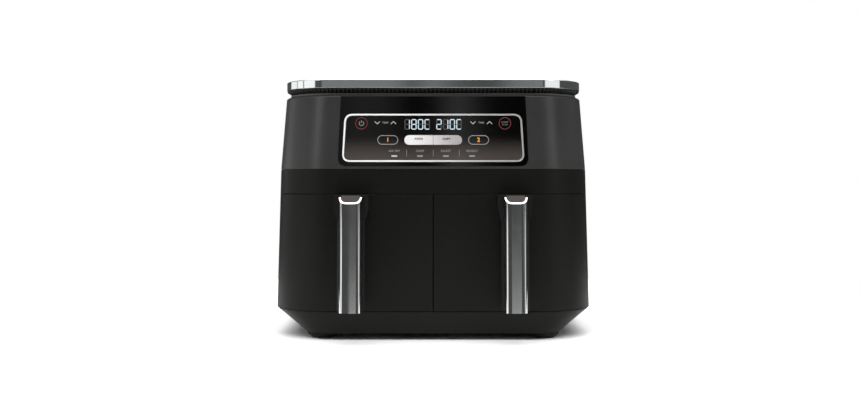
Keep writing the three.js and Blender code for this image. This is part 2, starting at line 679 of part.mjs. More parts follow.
// The front of the handle's chrome at height z.
function handleFront(z) {
  const t = (z - HANDLE_FOOT) / (HANDLE_HEAD - HANDLE_FOOT);
  return HANDLE_FRONT + HANDLE_LEAN * t + HANDLE_BOW * t * t;
}

// Heights at which the bowed bar is cut into straight lengths.
function stations(z0, z1) {
  return [z0, ...HANDLE_BENDS.filter((z) => z0 < z && z < z1), z1];
}

// The handle's section at one height: half a superellipse, closed by a straight back.
function handleSection(x, z, inset, depth) {
  const STEPS = 14;
  const front = handleFront(z);
  const half = HANDLE_HALF - inset;
  const power = 2 / HANDLE_CROWN;
  const curve = Array.from({ length: STEPS + 1 }, (_, i) => {
    const angle = (Math.PI * i) / STEPS;
    const across = -half * Math.sign(Math.cos(angle)) * Math.abs(Math.cos(angle)) ** power;
    const forward = (HANDLE_DEPTH - inset) * Math.sin(angle) ** power;
    return new THREE.Vector3(x + across, front + HANDLE_DEPTH - forward, z);
  });
  const rear = front + depth;
  return [...curve, new THREE.Vector3(x + half, rear, z), new THREE.Vector3(x - half, rear, z)];
}

const handleBar = (x, z0, z1, inset, depth) =>
  loft(stations(z0, z1).map((z) => handleSection(x, z, inset, depth)));

// Everything above a top that slopes up from the front and is level from a given height on;
// drop lowers the slope alone.
function aboveTop(x, drop, height) {
  const slope = new THREE.BoxGeometry(200, 200, 100).translate(0, 0, 50).rotateX(HANDLE_SLOPE);
  slope.translate(x, handleFront(HANDLE_RIM_Z), HANDLE_RIM_Z - drop);
  const level = box(span(x, 50), [-TILE, 0], [height, TILE]);
  return join(solid(slope), level);
}

// The neck that carries the handle stands out from the drawer front and tapers down to the bar.
function neck(x) {
  const shield = (y, half, top, waist, foot, footHalf) => [
    [-half, top], [-half, waist], [-footHalf, foot], [footHalf, foot], [half, waist], [half, top],
  ].map(([dx, z]) => new THREE.Vector3(x + dx, y, z));
  const bar = handleFront(HANDLE_HEAD) + HANDLE_DEPTH + 0.8; // just inside the back of the bar
  const face = -118; // inside the drawer front
  return loft([
    shield(bar, 20.3, 174.4, 157, 144, FLANGE_HALF),
    shield(face, 20.6, 174.8, 158, 146, FLANGE_HALF),
  ]);
}

// The black flange behind the chrome channel, as long as the bar.
function flange(x) {
  const section = (z) => {
    const near = handleFront(z) + HANDLE_DEPTH + GAP;
    const [middle, rear] = [near + FLANGE_DEPTH / 2, near + FLANGE_DEPTH];
    return [
      [-HANDLE_HALF, near], [HANDLE_HALF, near], [FLANGE_HALF, middle], [FLANGE_HALF - 1.5, rear],
      [1.5 - FLANGE_HALF, rear], [-FLANGE_HALF, middle],
    ].map(([dx, y]) => new THREE.Vector3(x + dx, y, z));
  };
  return loft(stations(HANDLE_FOOT + 1, 160).map(section));
}

// The peg that carries the neck through the drawer front.
const spigot = (x, grow) => box(span(x, 12 + grow), span(-119.5, 4.5 + grow), span(161, 9 + grow));

function makeHandle(side, x) {
  const coverInset = HANDLE_SKIN + HANDLE_FIT;
  const [capTop, capFoot, coreTop] = [0.9, 3.2, 3.6]; // depths below the rim's slope
  const aboveCore = aboveTop(x, coreTop, CAP_LEVEL + capTop - coreTop);
  const [low, high] = [HANDLE_FOOT, 180];
  const [, lowerBend, upperBend] = HANDLE_BENDS;
  const skin = cut(
    handleBar(x, low, high, 0, HANDLE_DEPTH),
    handleBar(x, low - 1, high + 1, HANDLE_SKIN, HANDLE_DEPTH + 1),
    aboveTop(x, 0, HANDLE_HEAD + GAP),
  );
  place(`handle_cover_${side}`, skin, "smoke");
  const bar = cut(handleBar(x, low + 1, high, coverInset, HANDLE_DEPTH + 1.5), aboveCore);
  const root = cut(
    neck(x),
    handleBar(x, lowerBend, high, -4, HANDLE_DEPTH + GAP),
    aboveCore.intersect(handleBar(x, upperBend, high, coverInset - GAP, HANDLE_DEPTH + 4.4)),
    bodySolid(130, 190, -GAP),
  );
  place(`handle_core_${side}`, join(bar, flange(x), root, spigot(x, 0)), "black");
  const cap = cut(
    handleBar(x, upperBend, high, coverInset, HANDLE_DEPTH + 4),
    aboveTop(x, capTop, CAP_LEVEL),
  );
  place(`handle_cap_${side}`, cap.intersect(aboveTop(x, capFoot, CAP_LEVEL + capTop - capFoot)), "umber");
}

function makeCrisper(side, x) {
  const plan = { half: 68.2, front: -89, back: 108, cx: 23, cy: 23, arc: 5 };
  const thick = [PLATE_Z, PLATE_Z + PLATE_THICK];
  const holes = [];
  for (let column = -2; column <= 2; column++) {
    for (let row = 0; row < 6; row++) {
      const [hx, hy] = [x + 24 * column, -65 + 30 * row];
      holes.push(post(hx, hy, thick[0] - 1, thick[1] + 1, 6, 6, 6));
    }
  }
  place(`crisper_plate_${side}`, cut(stack(plan, [[thick[0], 0], [thick[1], 0]], x), ...holes), "coating");
  const groove = stack(plan, [[thick[0] - 0.3, -0.3], [thick[1] + 0.3, -0.3]], x);
  let number = 1;
  for (const edge of [-1, 1]) {
    for (const y of [-48, 62]) {
      const limits = edge < 0 ? [x - 70, x - 64] : [x + 64, x + 70];
      const bumper = box(limits, span(y, 7), [PAN_BOTTOM.z + 2.3, PLATE_Z + 5]);
      place(`crisper_bumper_${side}_${number}`, cut(bumper, groove), "rubber");
      number += 1;
    }
  }
}

// ---------------------------------------------------------------- build

makeBase();
makeFeet();
makeLowerHousing();
makeUpperHousing();
makeRearCover();
makeCordGland();
makeTop();
makeVentGrille();
makeControlPanel();
makeElectronics();
for (const [side, sign] of SIDES) {
  const x = sign * ZONE_X;
  makeLiner(side, x);
  makeHeater(side, x);
  makeHeaterGuard(side, x);
  makeFan(side, x);
  makeMotor(side, x);
  makeThermostat(side, x, sign);
  makePan(side, x);
  makeDrawerFront(side, sign, x);
  makeHandle(side, sign * HANDLE_X);
  makeCrisper(side, x);
}
root.add(panelFrame);

export default root;
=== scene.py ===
"""The looks of a countertop air fryer with two side-by-side drawers, in metres, +Z up, front facing -Y."""
import math

import bmesh
import bpy
from mathutils import Matrix, Vector


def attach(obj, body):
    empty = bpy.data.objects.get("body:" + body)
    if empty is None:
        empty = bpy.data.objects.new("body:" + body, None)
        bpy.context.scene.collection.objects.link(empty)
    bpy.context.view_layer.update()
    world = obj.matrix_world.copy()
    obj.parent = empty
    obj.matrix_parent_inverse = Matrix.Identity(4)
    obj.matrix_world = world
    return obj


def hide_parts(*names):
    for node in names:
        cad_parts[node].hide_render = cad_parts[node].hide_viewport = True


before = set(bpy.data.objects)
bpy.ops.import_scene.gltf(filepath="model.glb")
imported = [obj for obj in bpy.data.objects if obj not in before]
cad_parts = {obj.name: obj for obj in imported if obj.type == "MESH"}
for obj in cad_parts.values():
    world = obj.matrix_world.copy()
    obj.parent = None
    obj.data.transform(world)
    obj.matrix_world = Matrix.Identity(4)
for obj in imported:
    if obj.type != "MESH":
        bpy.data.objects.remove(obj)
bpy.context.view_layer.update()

# ---------------------------------------------------------------- dimensions, in millimetres

MM = 0.001
SIDES = (("left", -1), ("right", 1))

BASE_BOTTOM = 8
BASE_TOP = 34
DRAWER_BOTTOM = 34.8
DRAWER_TOP = 175.2
BAY_TOP = 176
BAND_TOP = 205.5
SHOULDER = 294.5
COLLAR = 298.3
VENT_EDGE = 302.8
VENT_TOP = 304.5
RIM_BOTTOM = 304.8
RIM_TOP = 315
GAP = 0.4
WALL = 3.2
BEYOND = 400  # past every side of the object, for cutting tools

# Plan outlines: half width, front and back faces, corner radii along X and Y.
WAIST = dict(z=DRAWER_BOTTOM, half=197.5, front=-124, back=168, cx=72, cy=80)
BELT = dict(z=BAND_TOP, half=193.2, front=-119.5, back=168, cx=71, cy=79)
NECKLINE = dict(z=SHOULDER, half=186.8, front=-110.6, back=168, cx=68, cy=76)
SOLE = dict(z=BASE_BOTTOM, half=156.5, front=-121, back=165, cx=38, cy=34)
RIM = dict(z=RIM_TOP, half=185.5, front=-110, back=167, cx=62, cy=68)
COLLAR_INSET = 8.5

ZONE_X = 95
HANDLE_X = 96.5
FRONT_REAR = -72
FRONT_CORNER = 9
BULKHEAD = (-71, -68)
SEAM_HALF = 0.5
MOUTH = dict(half=84, bottom=38, top=164)

PAN_BOTTOM = dict(z=41, half=72, front=-93, back=112, cx=26, cy=26)
PAN_TOP = dict(z=160, half=78, front=-99, back=118, cx=30, cy=30)
PAN_WALL = 1.4
PAN_RIM = 4
CRISPER = dict(half=68.2, front=-89, back=108, cx=23, cy=23)
HOLES = dict(radius=6, across=24, along=30, first=-65)

HANDLE_FOOT = 38.5
HANDLE_HEAD = 172
HANDLE_FRONT = -176
HANDLE_LEAN = 8.4
HANDLE_BOW = -2.7
HANDLE_HALF = 13.5
HANDLE_DEPTH = 16
HANDLE_SKIN = 1.8
HANDLE_FIT = 0.6
HANDLE_CROWN = 4
HANDLE_SLOPE = math.radians(42)
HANDLE_RIM_Z = 164.7
CAP_LEVEL = 174.3
CORE_LEVEL = CAP_LEVEL - 2.7
# How far the cap's top, its underside and the core's top lie below the sloping top of the skin.
CAP_DROP = 1.1
CAP_FOOT_DROP = 3.3
CORE_DROP = 3.6
# The shield that joins the grip to the drawer, at its front and at its back.
NECK_FRONT = dict(half=20.3, top=174.4, waist=157, foot=144)
NECK_BACK = dict(half=20.6, top=174.8, waist=158, foot=146)
FLANGE_HALF = 16.3
FLANGE_DEPTH = 6

FOOT_X = 134.5
FOOT_ROWS = (("front", -92), ("rear", 136))
FOOT_R = 20
TREAD_R = 9
FOOT_TOP = 7.6

PANEL_FOOT = 209.3
PANEL_HALF_FOOT = 115
PANEL_HALF_HEAD = 111.5
PANEL_CORNER = 11

BACK_WINDOW = ((-108, 108), (160, 170), (70, 278))  # behind the rear cover, along X, Y and Z
CORD_X = 98
CORD_Z = 46
VENT_PITCH = 5.1
RIB_HALF = 1.15

# Camera: level with the band over the drawers, straight in front.
EYE_HEIGHT = 0.192
EYE_Y = -1.424
FOCAL_LENGTH = 45.34
SHIFT_X = -0.0037
SHIFT_Y = -0.0285


# ---------------------------------------------------------------- materials

PLASTIC_SPECULAR = 0.15


def new_material(name, color, roughness, metallic=0.0):
    """A node material and its Principled shader."""
    material = bpy.data.materials.new(name)
    material.use_nodes = True
    shader = material.node_tree.nodes["Principled BSDF"]
    shader.inputs["Base Color"].default_value = (*color, 1)
    shader.inputs["Roughness"].default_value = roughness
    shader.inputs["Metallic"].default_value = metallic
    material.diffuse_color = (*color, 1)
    return material, shader


def add_noise(material, scale, detail=2.0):
    """Noise in the object's own coordinates, scale features per metre."""
    nodes, links = material.node_tree.nodes, material.node_tree.links
    place = nodes.new("ShaderNodeTexCoord")
    noise = nodes.new("ShaderNodeTexNoise")
    noise.inputs["Scale"].default_value = scale
    noise.inputs["Detail"].default_value = detail
    links.new(place.outputs["Object"], noise.inputs["Vector"])
    return noise


def vary(material, shader, socket, noise, low, high):
    """Drives a shader socket between two values, which are numbers or colours."""
    nodes, links = material.node_tree.nodes, material.node_tree.links
    if isinstance(low, (int, float)):
        span = nodes.new("ShaderNodeMapRange")
        span.inputs["From Min"].default_value = 0.3
        span.inputs["From Max"].default_value = 0.7
        span.inputs["To Min"].default_value = low
        span.inputs["To Max"].default_value = high
        links.new(noise.outputs["Fac"], span.inputs["Value"])
        links.new(span.outputs["Result"], shader.inputs[socket])
        return
    ramp = nodes.new("ShaderNodeValToRGB")
    ramp.color_ramp.elements[0].position = 0.3
    ramp.color_ramp.elements[0].color = (*low, 1)
    ramp.color_ramp.elements[1].position = 0.7
    ramp.color_ramp.elements[1].color = (*high, 1)
    links.new(noise.outputs["Fac"], ramp.inputs["Fac"])
    links.new(ramp.outputs["Color"], shader.inputs[socket])


def add_bump(material, shader, noise, strength, distance):
    nodes, links = material.node_tree.nodes, material.node_tree.links
    bump = nodes.new("ShaderNodeBump")
    bump.inputs["Strength"].default_value = strength
    bump.inputs["Distance"].default_value = distance
    links.new(noise.outputs["Fac"], bump.inputs["Height"])
    links.new(bump.outputs["Normal"], shader.inputs["Normal"])


def moulded_plastic(name, color, roughness, grain=0.12, specular=PLASTIC_SPECULAR):
    """Spark-eroded moulding texture: fine grain, faint blotches in colour and gloss."""
    material, shader = new_material(name, color, roughness)
    shader.inputs["Specular IOR Level"].default_value = specular
    blotch = add_noise(material, 14, 3)
    darker = [channel * 0.93 for channel in color]
    lighter = [channel * 1.07 for channel in color]
    vary(material, shader, "Base Color", blotch, darker, lighter)
    vary(material, shader, "Roughness", add_noise(material, 60, 2), roughness - 0.03, roughness + 0.03)
    add_bump(material, shader, add_noise(material, 2600, 2), grain, 0.00006)
    return material


def polished(name, color, roughness, metallic=0.0):
    """A smooth surface with faint handling marks in its gloss."""
    material, shader = new_material(name, color, roughness, metallic)
    vary(material, shader, "Roughness", add_noise(material, 35, 4), roughness * 0.85, roughness * 1.2)
    vary(material, shader, "Base Color", add_noise(material, 9, 2),
         [channel * 0.97 for channel in color], [min(channel * 1.03, 1) for channel in color])
    return material


def rolled_steel(name, color, roughness, stretch=(1, 40, 40)):
    """Sheet metal with a directional rolling grain."""
    material, shader = new_material(name, color, roughness, 1.0)
    nodes, links = material.node_tree.nodes, material.node_tree.links
    grain = add_noise(material, 30, 4)
    mapping = nodes.new("ShaderNodeMapping")
    mapping.inputs["Scale"].default_value = stretch
    place = grain.inputs["Vector"].links[0].from_socket
    links.new(place, mapping.inputs["Vector"])
    links.new(mapping.outputs["Vector"], grain.inputs["Vector"])
    vary(material, shader, "Roughness", grain, roughness - 0.08, roughness + 0.1)
    vary(material, shader, "Base Color", add_noise(material, 20, 3),
         [channel * 0.85 for channel in color], color)
    add_bump(material, shader, grain, 0.1, 0.00005)
    return material


def glowing(name, color, strength):
    """A display segment or lamp that glows, faintly uneven like a diffuser; on segments and bars that are
    off, the glow is painted light.
    """
    material, shader = new_material(name, [channel * 0.04 for channel in color], 0.3)
    shader.inputs["Emission Strength"].default_value = strength
    vary(material, shader, "Emission Color", add_noise(material, 900, 1),
         [channel * 0.94 for channel in color], color)
    return material


def graded_along_axis(name, axis, low_color, high_color, start, stop, roughness):
    """A smooth finish whose colour grades between two colours along one axis, from start to stop. On the
    silver trim and keys the grading is a painted sheen, lighter on the side the light comes from.
    """
    material, shader = new_material(name, low_color, roughness)
    nodes, links = material.node_tree.nodes, material.node_tree.links
    place = nodes.new("ShaderNodeTexCoord")
    axes = nodes.new("ShaderNodeSeparateXYZ")
    links.new(place.outputs["Object"], axes.inputs["Vector"])
    fade = nodes.new("ShaderNodeValToRGB")
    fade.color_ramp.interpolation = "EASE"
    fade.color_ramp.elements[0].color = (*low_color, 1)
    fade.color_ramp.elements[1].color = (*high_color, 1)
    reach = nodes.new("ShaderNodeMapRange")
    reach.inputs["From Min"].default_value = start * MM
    reach.inputs["From Max"].default_value = stop * MM
    links.new(axes.outputs[axis], reach.inputs["Value"])
    links.new(reach.outputs["Result"], fade.inputs["Fac"])
    links.new(fade.outputs["Color"], shader.inputs["Base Color"])
    vary(material, shader, "Roughness", add_noise(material, 35, 4), roughness * 0.8, roughness * 1.25)
    return material


UPPER = moulded_plastic("upper_plastic", (0.031, 0.031, 0.0305), 0.31, specular=0.3)
LOWER = moulded_plastic("lower_plastic", (0.0048, 0.0053, 0.0036), 0.42)
VENT = moulded_plastic("vent_plastic", (0.03, 0.03, 0.027), 0.5)
# The collar lip's light grey is a painted highlight, for the light its rounded edge catches.
LIP_PAINTED_HIGHLIGHT = moulded_plastic("lip_painted_highlight", (0.12, 0.12, 0.113), 0.45)
# Near-black behind the vent ribs: painted shade for the dark gaps between them.
VENT_GAP_PAINTED_SHADE = moulded_plastic("vent_gap_painted_shade", (0.004, 0.004, 0.0035), 0.6)
CORE = moulded_plastic("handle_plastic", (0.0065, 0.0068, 0.006), 0.46, 0.06)
UMBER = moulded_plastic("insert_plastic", (0.040, 0.033, 0.030), 0.5, 0.05)
RUBBER = moulded_plastic("foot_rubber", (0.012, 0.012, 0.011), 0.7, 0.2)
SILICONE = moulded_plastic("silicone", (0.015, 0.015, 0.016), 0.55, 0.08)
GLOSS = polished("gloss_black", (0.0008, 0.0009, 0.0008), 0.07)
LID = moulded_plastic("lid_black", (0.003, 0.0031, 0.003), 0.3, 0.02)
RIM_CHROME = polished("rim_chrome", (0.62, 0.65, 0.65), 0.06, 1.0)
HANDLE_CHROME = polished("handle_chrome", (0.66, 0.67, 0.67), 0.07, 1.0)
# Silver trim and pill go from near white at the left to grey at the right: a painted sheen from the light on
# the left.
TRIM_SILVER_PAINTED_SHEEN = graded_along_axis("trim_silver", "X", (0.92, 0.92, 0.91), (0.36, 0.36, 0.355), -80, 105, 0.32)
PILL_SILVER_PAINTED_SHEEN = graded_along_axis("pill_silver_painted_sheen", "X", (0.84, 0.83, 0.83), (0.42, 0.39, 0.39), -30, 34, 0.36)
STEEL = rolled_steel("liner_steel", (0.5, 0.5, 0.5), 0.34)
SHEATH = rolled_steel("heater_sheath", (0.16, 0.14, 0.13), 0.45, (20, 20, 20))
COATING = moulded_plastic("pan_coating", (0.022, 0.022, 0.023), 0.36, 0.1)
BOARD = moulded_plastic("solder_mask", (0.01, 0.06, 0.03), 0.4, 0.02)
LENS = polished("display_lens", (0.003, 0.003, 0.004), 0.1)
TOUCH_GLASS = graded_along_axis("touch_glass", "Z", (0.062, 0.053, 0.049), (0.0015, 0.0015, 0.0012), 216, 248, 0.08)
LIT_SEGMENT = glowing("lit_segment", (0.68, 0.83, 0.91), 1.0)
# Segments that are off still glow faintly: a painted glow, as no lamp lights them.
UNLIT_SEGMENT_PAINTED_GLOW = glowing("unlit_segment_painted_glow", (0.085, 0.075, 0.078), 1.0)
LIT_ICON = glowing("lit_icon", (0.62, 0.63, 0.61), 1.0)
# The bars under the unselected functions are unlit, yet glow grey: a painted glow.
UNLIT_BAR_PAINTED_GLOW = glowing("unlit_bar_painted_glow", (0.32, 0.31, 0.3), 1.0)
DIM_LABEL = glowing("dim_label", (0.26, 0.24, 0.22), 1.0)
LAMP_RED = glowing("lamp_red", (0.16, 0.035, 0.034), 1.0)
LAMP_ORANGE = glowing("lamp_orange", (1.0, 0.38, 0.06), 1.1)
DARK_INK = moulded_plastic("dark_ink", (0.014, 0.014, 0.015), 0.5, 0.02)
KEY_RING = polished("key_ring", (0.3, 0.3, 0.29), 0.4)


# ---------------------------------------------------------------- mesh tools

def mix_plans(low, high, z):
    t = (z - low["z"]) / (high["z"] - low["z"])
    return {key: low[key] + t * (high[key] - low[key]) for key in ("half", "front", "back", "cx", "cy")}


def body_plan(z):
    """The housing's plan at any height: two straight stretches that meet at the belt."""
    return mix_plans(WAIST, BELT, z) if z <= BAND_TOP else mix_plans(BELT, NECKLINE, z)


def outline(plan, z, inset=0.0, centre_x=0.0, arc=20):
    """A rounded rectangle with elliptical corners at height z, drawn in by inset."""
    cx = max(plan["cx"] - inset, 0.5)
    cy = max(plan["cy"] - inset, 0.5)
    right = plan["half"] - inset - cx
    front = plan["front"] + inset + cy
    back = plan["back"] - inset - cy
    corners = ((right, front, -90), (right, back, 0), (-right, back, 90), (-right, front, 180))
    points = []
    for x, y, start in corners:
        for i in range(arc + 1):
            angle = math.radians(start + 90 * i / arc)
            points.append((centre_x + x + cx * math.cos(angle), y + cy * math.sin(angle), z))
    return points


def piece(name, points, faces, material):
    """A new object from points in millimetres."""
    mesh = bpy.data.meshes.new(name)
    mesh.from_pydata([(x * MM, y * MM, z * MM) for x, y, z in points], [], faces)
    mesh.update()
    made = bpy.data.objects.new(name, mesh)
    bpy.context.scene.collection.objects.link(made)
    if material:
        mesh.materials.append(material)
    return made


def loft(name, rings, material=None, closed=False):
    """A skin through rings of points; closed joins the last ring to the first instead of capping both."""
    count = len(rings[0])
    points = [point for ring in rings for point in ring]
    faces = []
    levels = len(rings) if closed else len(rings) - 1
    for level in range(levels):
        low = level * count
        high = ((level + 1) % len(rings)) * count
        for i in range(count):
            j = (i + 1) % count
            faces.append((low + i, low + j, high + j, high + i))
    if not closed:
        faces.append(tuple(reversed(range(count))))
        faces.append(tuple(range(len(points) - count, len(points))))
    made = piece(name, points, faces, material)
    face_outward(made)
    return made


def face_outward(made):
    work = bmesh.new()
    work.from_mesh(made.data)
    bmesh.ops.recalc_face_normals(work, faces=work.faces)
    work.to_mesh(made.data)
    work.free()


def block(x_span, y_span, z_span, material=None, name="tool"):
    """A box between three pairs of limits."""
    (x0, x1), (y0, y1), (z0, z1) = x_span, y_span, z_span
    ring = ((x0, y0), (x1, y0), (x1, y1), (x0, y1))
    return loft(name, [[(x, y, z) for x, y in ring] for z in (z0, z1)], material)


def circle(u, v, radius, segments):
    """Points round a circle, in whichever plane the caller uses them."""
    angles = [math.tau * i / segments for i in range(segments)]
    return [(u + radius * math.cos(angle), v + radius * math.sin(angle)) for angle in angles]


def post(x, y, z0, z1, radius, material=None, name="tool", segments=48):
    """An upright round bar."""
    ring = circle(x, y, radius, segments)
    return loft(name, [[(px, py, z) for px, py in ring] for z in (z0, z1)], material)


def bake(made):
    """Applies an object's modifiers to its mesh."""
    graph = bpy.context.evaluated_depsgraph_get()
    mesh = bpy.data.meshes.new_from_object(made.evaluated_get(graph))
    old = made.data
    made.modifiers.clear()
    made.data = mesh
    bpy.data.meshes.remove(old)
    mesh.name = made.name


def combine(base, tools, operation):
    """Joins, cuts or intersects base with each tool, and removes the tools."""
    for tool in tools:
        step = base.modifiers.new("step", "BOOLEAN")
        step.object = tool
        step.operation = operation
        step.solver = "EXACT"
    bake(base)
    for tool in tools:
        mesh = tool.data
        bpy.data.objects.remove(tool)
        bpy.data.meshes.remove(mesh)
    return base


def cut(base, *tools):
    return combine(base, tools, "DIFFERENCE")


def join(base, *tools):
    return combine(base, tools, "UNION")


def keep(base, *tools):
    return combine(base, tools, "INTERSECT")


def soften(made, radius, segments=3, angle=32):
    """Rounded edges and smooth shading between them."""
    made.data.shade_smooth()
    bevel = made.modifiers.new("edges", "BEVEL")
    bevel.width = radius * MM
    bevel.segments = segments
    bevel.limit_method = "ANGLE"
    bevel.angle_limit = math.radians(angle)
    bevel.miter_outer = "MITER_ARC"
    bevel.harden_normals = True
    weight = made.modifiers.new("weights", "WEIGHTED_NORMAL")
    weight.keep_sharp = True
    return made


def smooth(made, angle=40):
    """Smooth shading, with edges sharper than angle left crisp."""
    made.data.shade_smooth()
    made.data.set_sharp_from_angle(angle=math.radians(angle))
    return made


def finish_piece(made, body, slot, *nodes):
    """Attaches a finished piece to the body it moves with and hides the CAD nodes it stands for; slot, its
    finish, is not used.
    """
    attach(made, body)
    if nodes:
        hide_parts(*nodes)
    return made


# ---------------------------------------------------------------- housing

def body_solid(name, z0, z1, inset=0.0, material=None):
    heights = [z0, BAND_TOP, z1] if z0 < BAND_TOP < z1 else [z0, z1]
    return loft(name, [outline(body_plan(z), z, inset) for z in heights], material)


def stack(name, plan, levels, material=None, centre_x=0.0, arc=20):
    """One plan repeated at several heights, each with its own inset."""
    return loft(name, [outline(plan, z, inset, centre_x, arc) for z, inset in levels], material)


def front_profile(x_span, grow, name="tool"):
    """The drawer front's side outline across X: square but for its rounded rear top corner."""
    top = DRAWER_TOP + grow
    rear = FRONT_REAR + grow
    r = FRONT_CORNER
    side = [(-BEYOND, 0), (rear, 0)]
    for i in range(11):
        angle = math.radians(9 * i)
        side.append((rear - r + r * math.cos(angle), top - r + r * math.sin(angle)))
    side.append((-BEYOND, top))
    return loft(name, [[(x, y, z) for y, z in side] for x in x_span])


def make_lower_housing():
    bottom = BASE_TOP + GAP
    shell = body_solid("housing_lower", bottom, BAND_TOP, 0, LOWER)
    cut(shell, body_solid("tool", bottom - 1, BAND_TOP + 1, WALL))
    cut(shell, front_profile((-BEYOND, BEYOND), BAY_TOP - DRAWER_TOP))
    bulkhead = body_solid("tool", bottom, BAND_TOP - 1, WALL - 0.5, LOWER)
    keep(bulkhead, block((-BEYOND, BEYOND), BULKHEAD, (bottom, BAY_TOP + 3)))
    shelf = body_solid("tool", bottom, BAND_TOP - 1, WALL - 0.5, LOWER)
    keep(shelf, block((-BEYOND, BEYOND), (-BEYOND, BULKHEAD[1]), (BAY_TOP, BAY_TOP + 3)))
    join(shell, bulkhead, shelf)
    for _, sign in SIDES:
        x = sign * ZONE_X
        mouth = block((x - MOUTH["half"], x + MOUTH["half"]), (BULKHEAD[0] - 1, BULKHEAD[1] + 1),
                      (MOUTH["bottom"], MOUTH["top"]))
        cut(shell, mouth)
    cut(shell, block(*BACK_WINDOW), cord_bore(9, 160, 175))
    soften(shell, 0.7)
    finish_piece(shell, "housing", "black_shell", "lower_housing")


def cord_bore(radius, y0, y1, segments=40):
    """A round hole through the back for the mains cord."""
    ring = circle(CORD_X, CORD_Z, radius, segments)
    return loft("tool", [[(x, y, z) for x, z in ring] for y in (y0, y1)])


# ---------------------------------------------------------------- panel frame

PANEL_LEAN = math.atan((NECKLINE["front"] - BELT["front"]) / (SHOULDER - BAND_TOP))
PANEL_HEIGHT = (SHOULDER - PANEL_FOOT) / math.cos(PANEL_LEAN)
PANEL_MATRIX = (Matrix.Translation((0, body_plan(PANEL_FOOT)["front"], PANEL_FOOT))
                @ Matrix.Rotation(math.pi / 2 - PANEL_LEAN, 4, "X"))


def on_panel(u, v, w):
    """A point in panel coordinates, as millimetres in the row frame."""
    return tuple(PANEL_MATRIX @ Vector((u, v, w)))


def slab(name, shape, w0, w1, material=None):
    """A flat outline on the panel, given thickness between two depths."""
    return loft(name, [[on_panel(u, v, w) for u, v in shape] for w in (w0, w1)], material)


def rounded_polygon(corners, steps=8):
    """A polygon of (u, v, radius) corners, each turned by a smooth curve."""
    points = []
    count = len(corners)
    for i, (u, v, radius) in enumerate(corners):
        here = Vector((u, v))
        if radius <= 0:
            points.append((u, v))
            continue
        before = here + (Vector(corners[i - 1][:2]) - here).normalized() * radius
        after = here + (Vector(corners[(i + 1) % count][:2]) - here).normalized() * radius
        for k in range(steps + 1):
            t = k / steps
            spot = before * (1 - t) ** 2 + here * 2 * t * (1 - t) + after * t ** 2
            points.append(tuple(spot))
    return points


def trapezoid(half_foot, half_head, v0, v1, foot_radius, head_radius):
    return rounded_polygon([(half_foot, v0, foot_radius), (half_head, v1, head_radius),
                            (-half_head, v1, head_radius), (-half_foot, v0, foot_radius)])


def pill(u, v, width, height, round_left=True, round_right=True, steps=14):
    """A pill outline; a flat end replaces a round one where asked."""
    r = height / 2
    left, right = u - width / 2, u + width / 2
    points = []
    if round_right:
        for i in range(steps + 1):
            angle = math.radians(-90 + 180 * i / steps)
            points.append((right - r + r * math.cos(angle), v + r * math.sin(angle)))
    else:
        points += [(right, v - r), (right, v + r)]
    if round_left:
        for i in range(steps + 1):
            angle = math.radians(90 + 180 * i / steps)
            points.append((left + r + r * math.cos(angle), v + r * math.sin(angle)))
    else:
        points += [(left, v + r), (left, v - r)]
    return points


def make_upper_housing():
    bottom = BAND_TOP + GAP
    top_plan = body_plan(SHOULDER)
    outer = loft("housing_upper", [
        outline(body_plan(bottom), bottom),
        outline(top_plan, SHOULDER - 0.6),
        outline(top_plan, SHOULDER + 0.3, 0.9),
        outline(top_plan, SHOULDER + 1.7, 3.6),
        outline(top_plan, COLLAR, COLLAR_INSET),
    ], UPPER)
    hollow = loft("tool", [
        outline(body_plan(bottom - 1), bottom - 1, WALL),
        outline(top_plan, SHOULDER - WALL, WALL),
        outline(top_plan, COLLAR - WALL, COLLAR_INSET + WALL),
        outline(top_plan, COLLAR + 1, COLLAR_INSET + WALL),
    ])
    cut(outer, hollow)
    backing = trapezoid(PANEL_HALF_FOOT + 5, PANEL_HALF_HEAD + 5, -3, 82, 14, 0)
    join(outer, slab("tool", backing, -6, -2.6, UPPER))
    recess = trapezoid(PANEL_HALF_FOOT + GAP, PANEL_HALF_HEAD + GAP, -GAP, PANEL_HEIGHT - 0.05,
                       PANEL_CORNER + GAP, 0)
    cut(outer, slab("tool", recess, -3.4, 20), slab("tool", trapezoid(108, 105, 5, 76, 8, 8), -12, 0))
    cut(outer, block(*BACK_WINDOW))
    soften(outer, 0.6)
    finish_piece(outer, "housing", "upper_shell", "upper_housing")


def make_base():
    """The tray: a chamfer up to its widest line, and a lip that closes the seam under the drawers."""
    lip_top = DRAWER_BOTTOM - 0.25
    outer = loft("base", [
        outline(SOLE, BASE_BOTTOM),
        outline(WAIST, BASE_TOP - 0.1),
        outline(WAIST, BASE_TOP, 0.7),
        outline(WAIST, lip_top, 0.8),
    ], LOWER)
    hollow = loft("tool", [outline(SOLE, BASE_BOTTOM + WALL, WALL), outline(WAIST, BASE_TOP + 1, WALL)])
    cut(outer, hollow)
    deck = loft("tool", [outline(WAIST, z, WALL - 1) for z in (BASE_TOP - 2.5, BASE_TOP - 0.1)], LOWER)
    keep(deck, block((-BEYOND, BEYOND), (-BEYOND, BULKHEAD[1]), (0, BASE_TOP)))
    join(outer, deck)
    soften(outer, 1.0, 4, 40)
    finish_piece(outer, "housing", "black_shell", "base_tray")


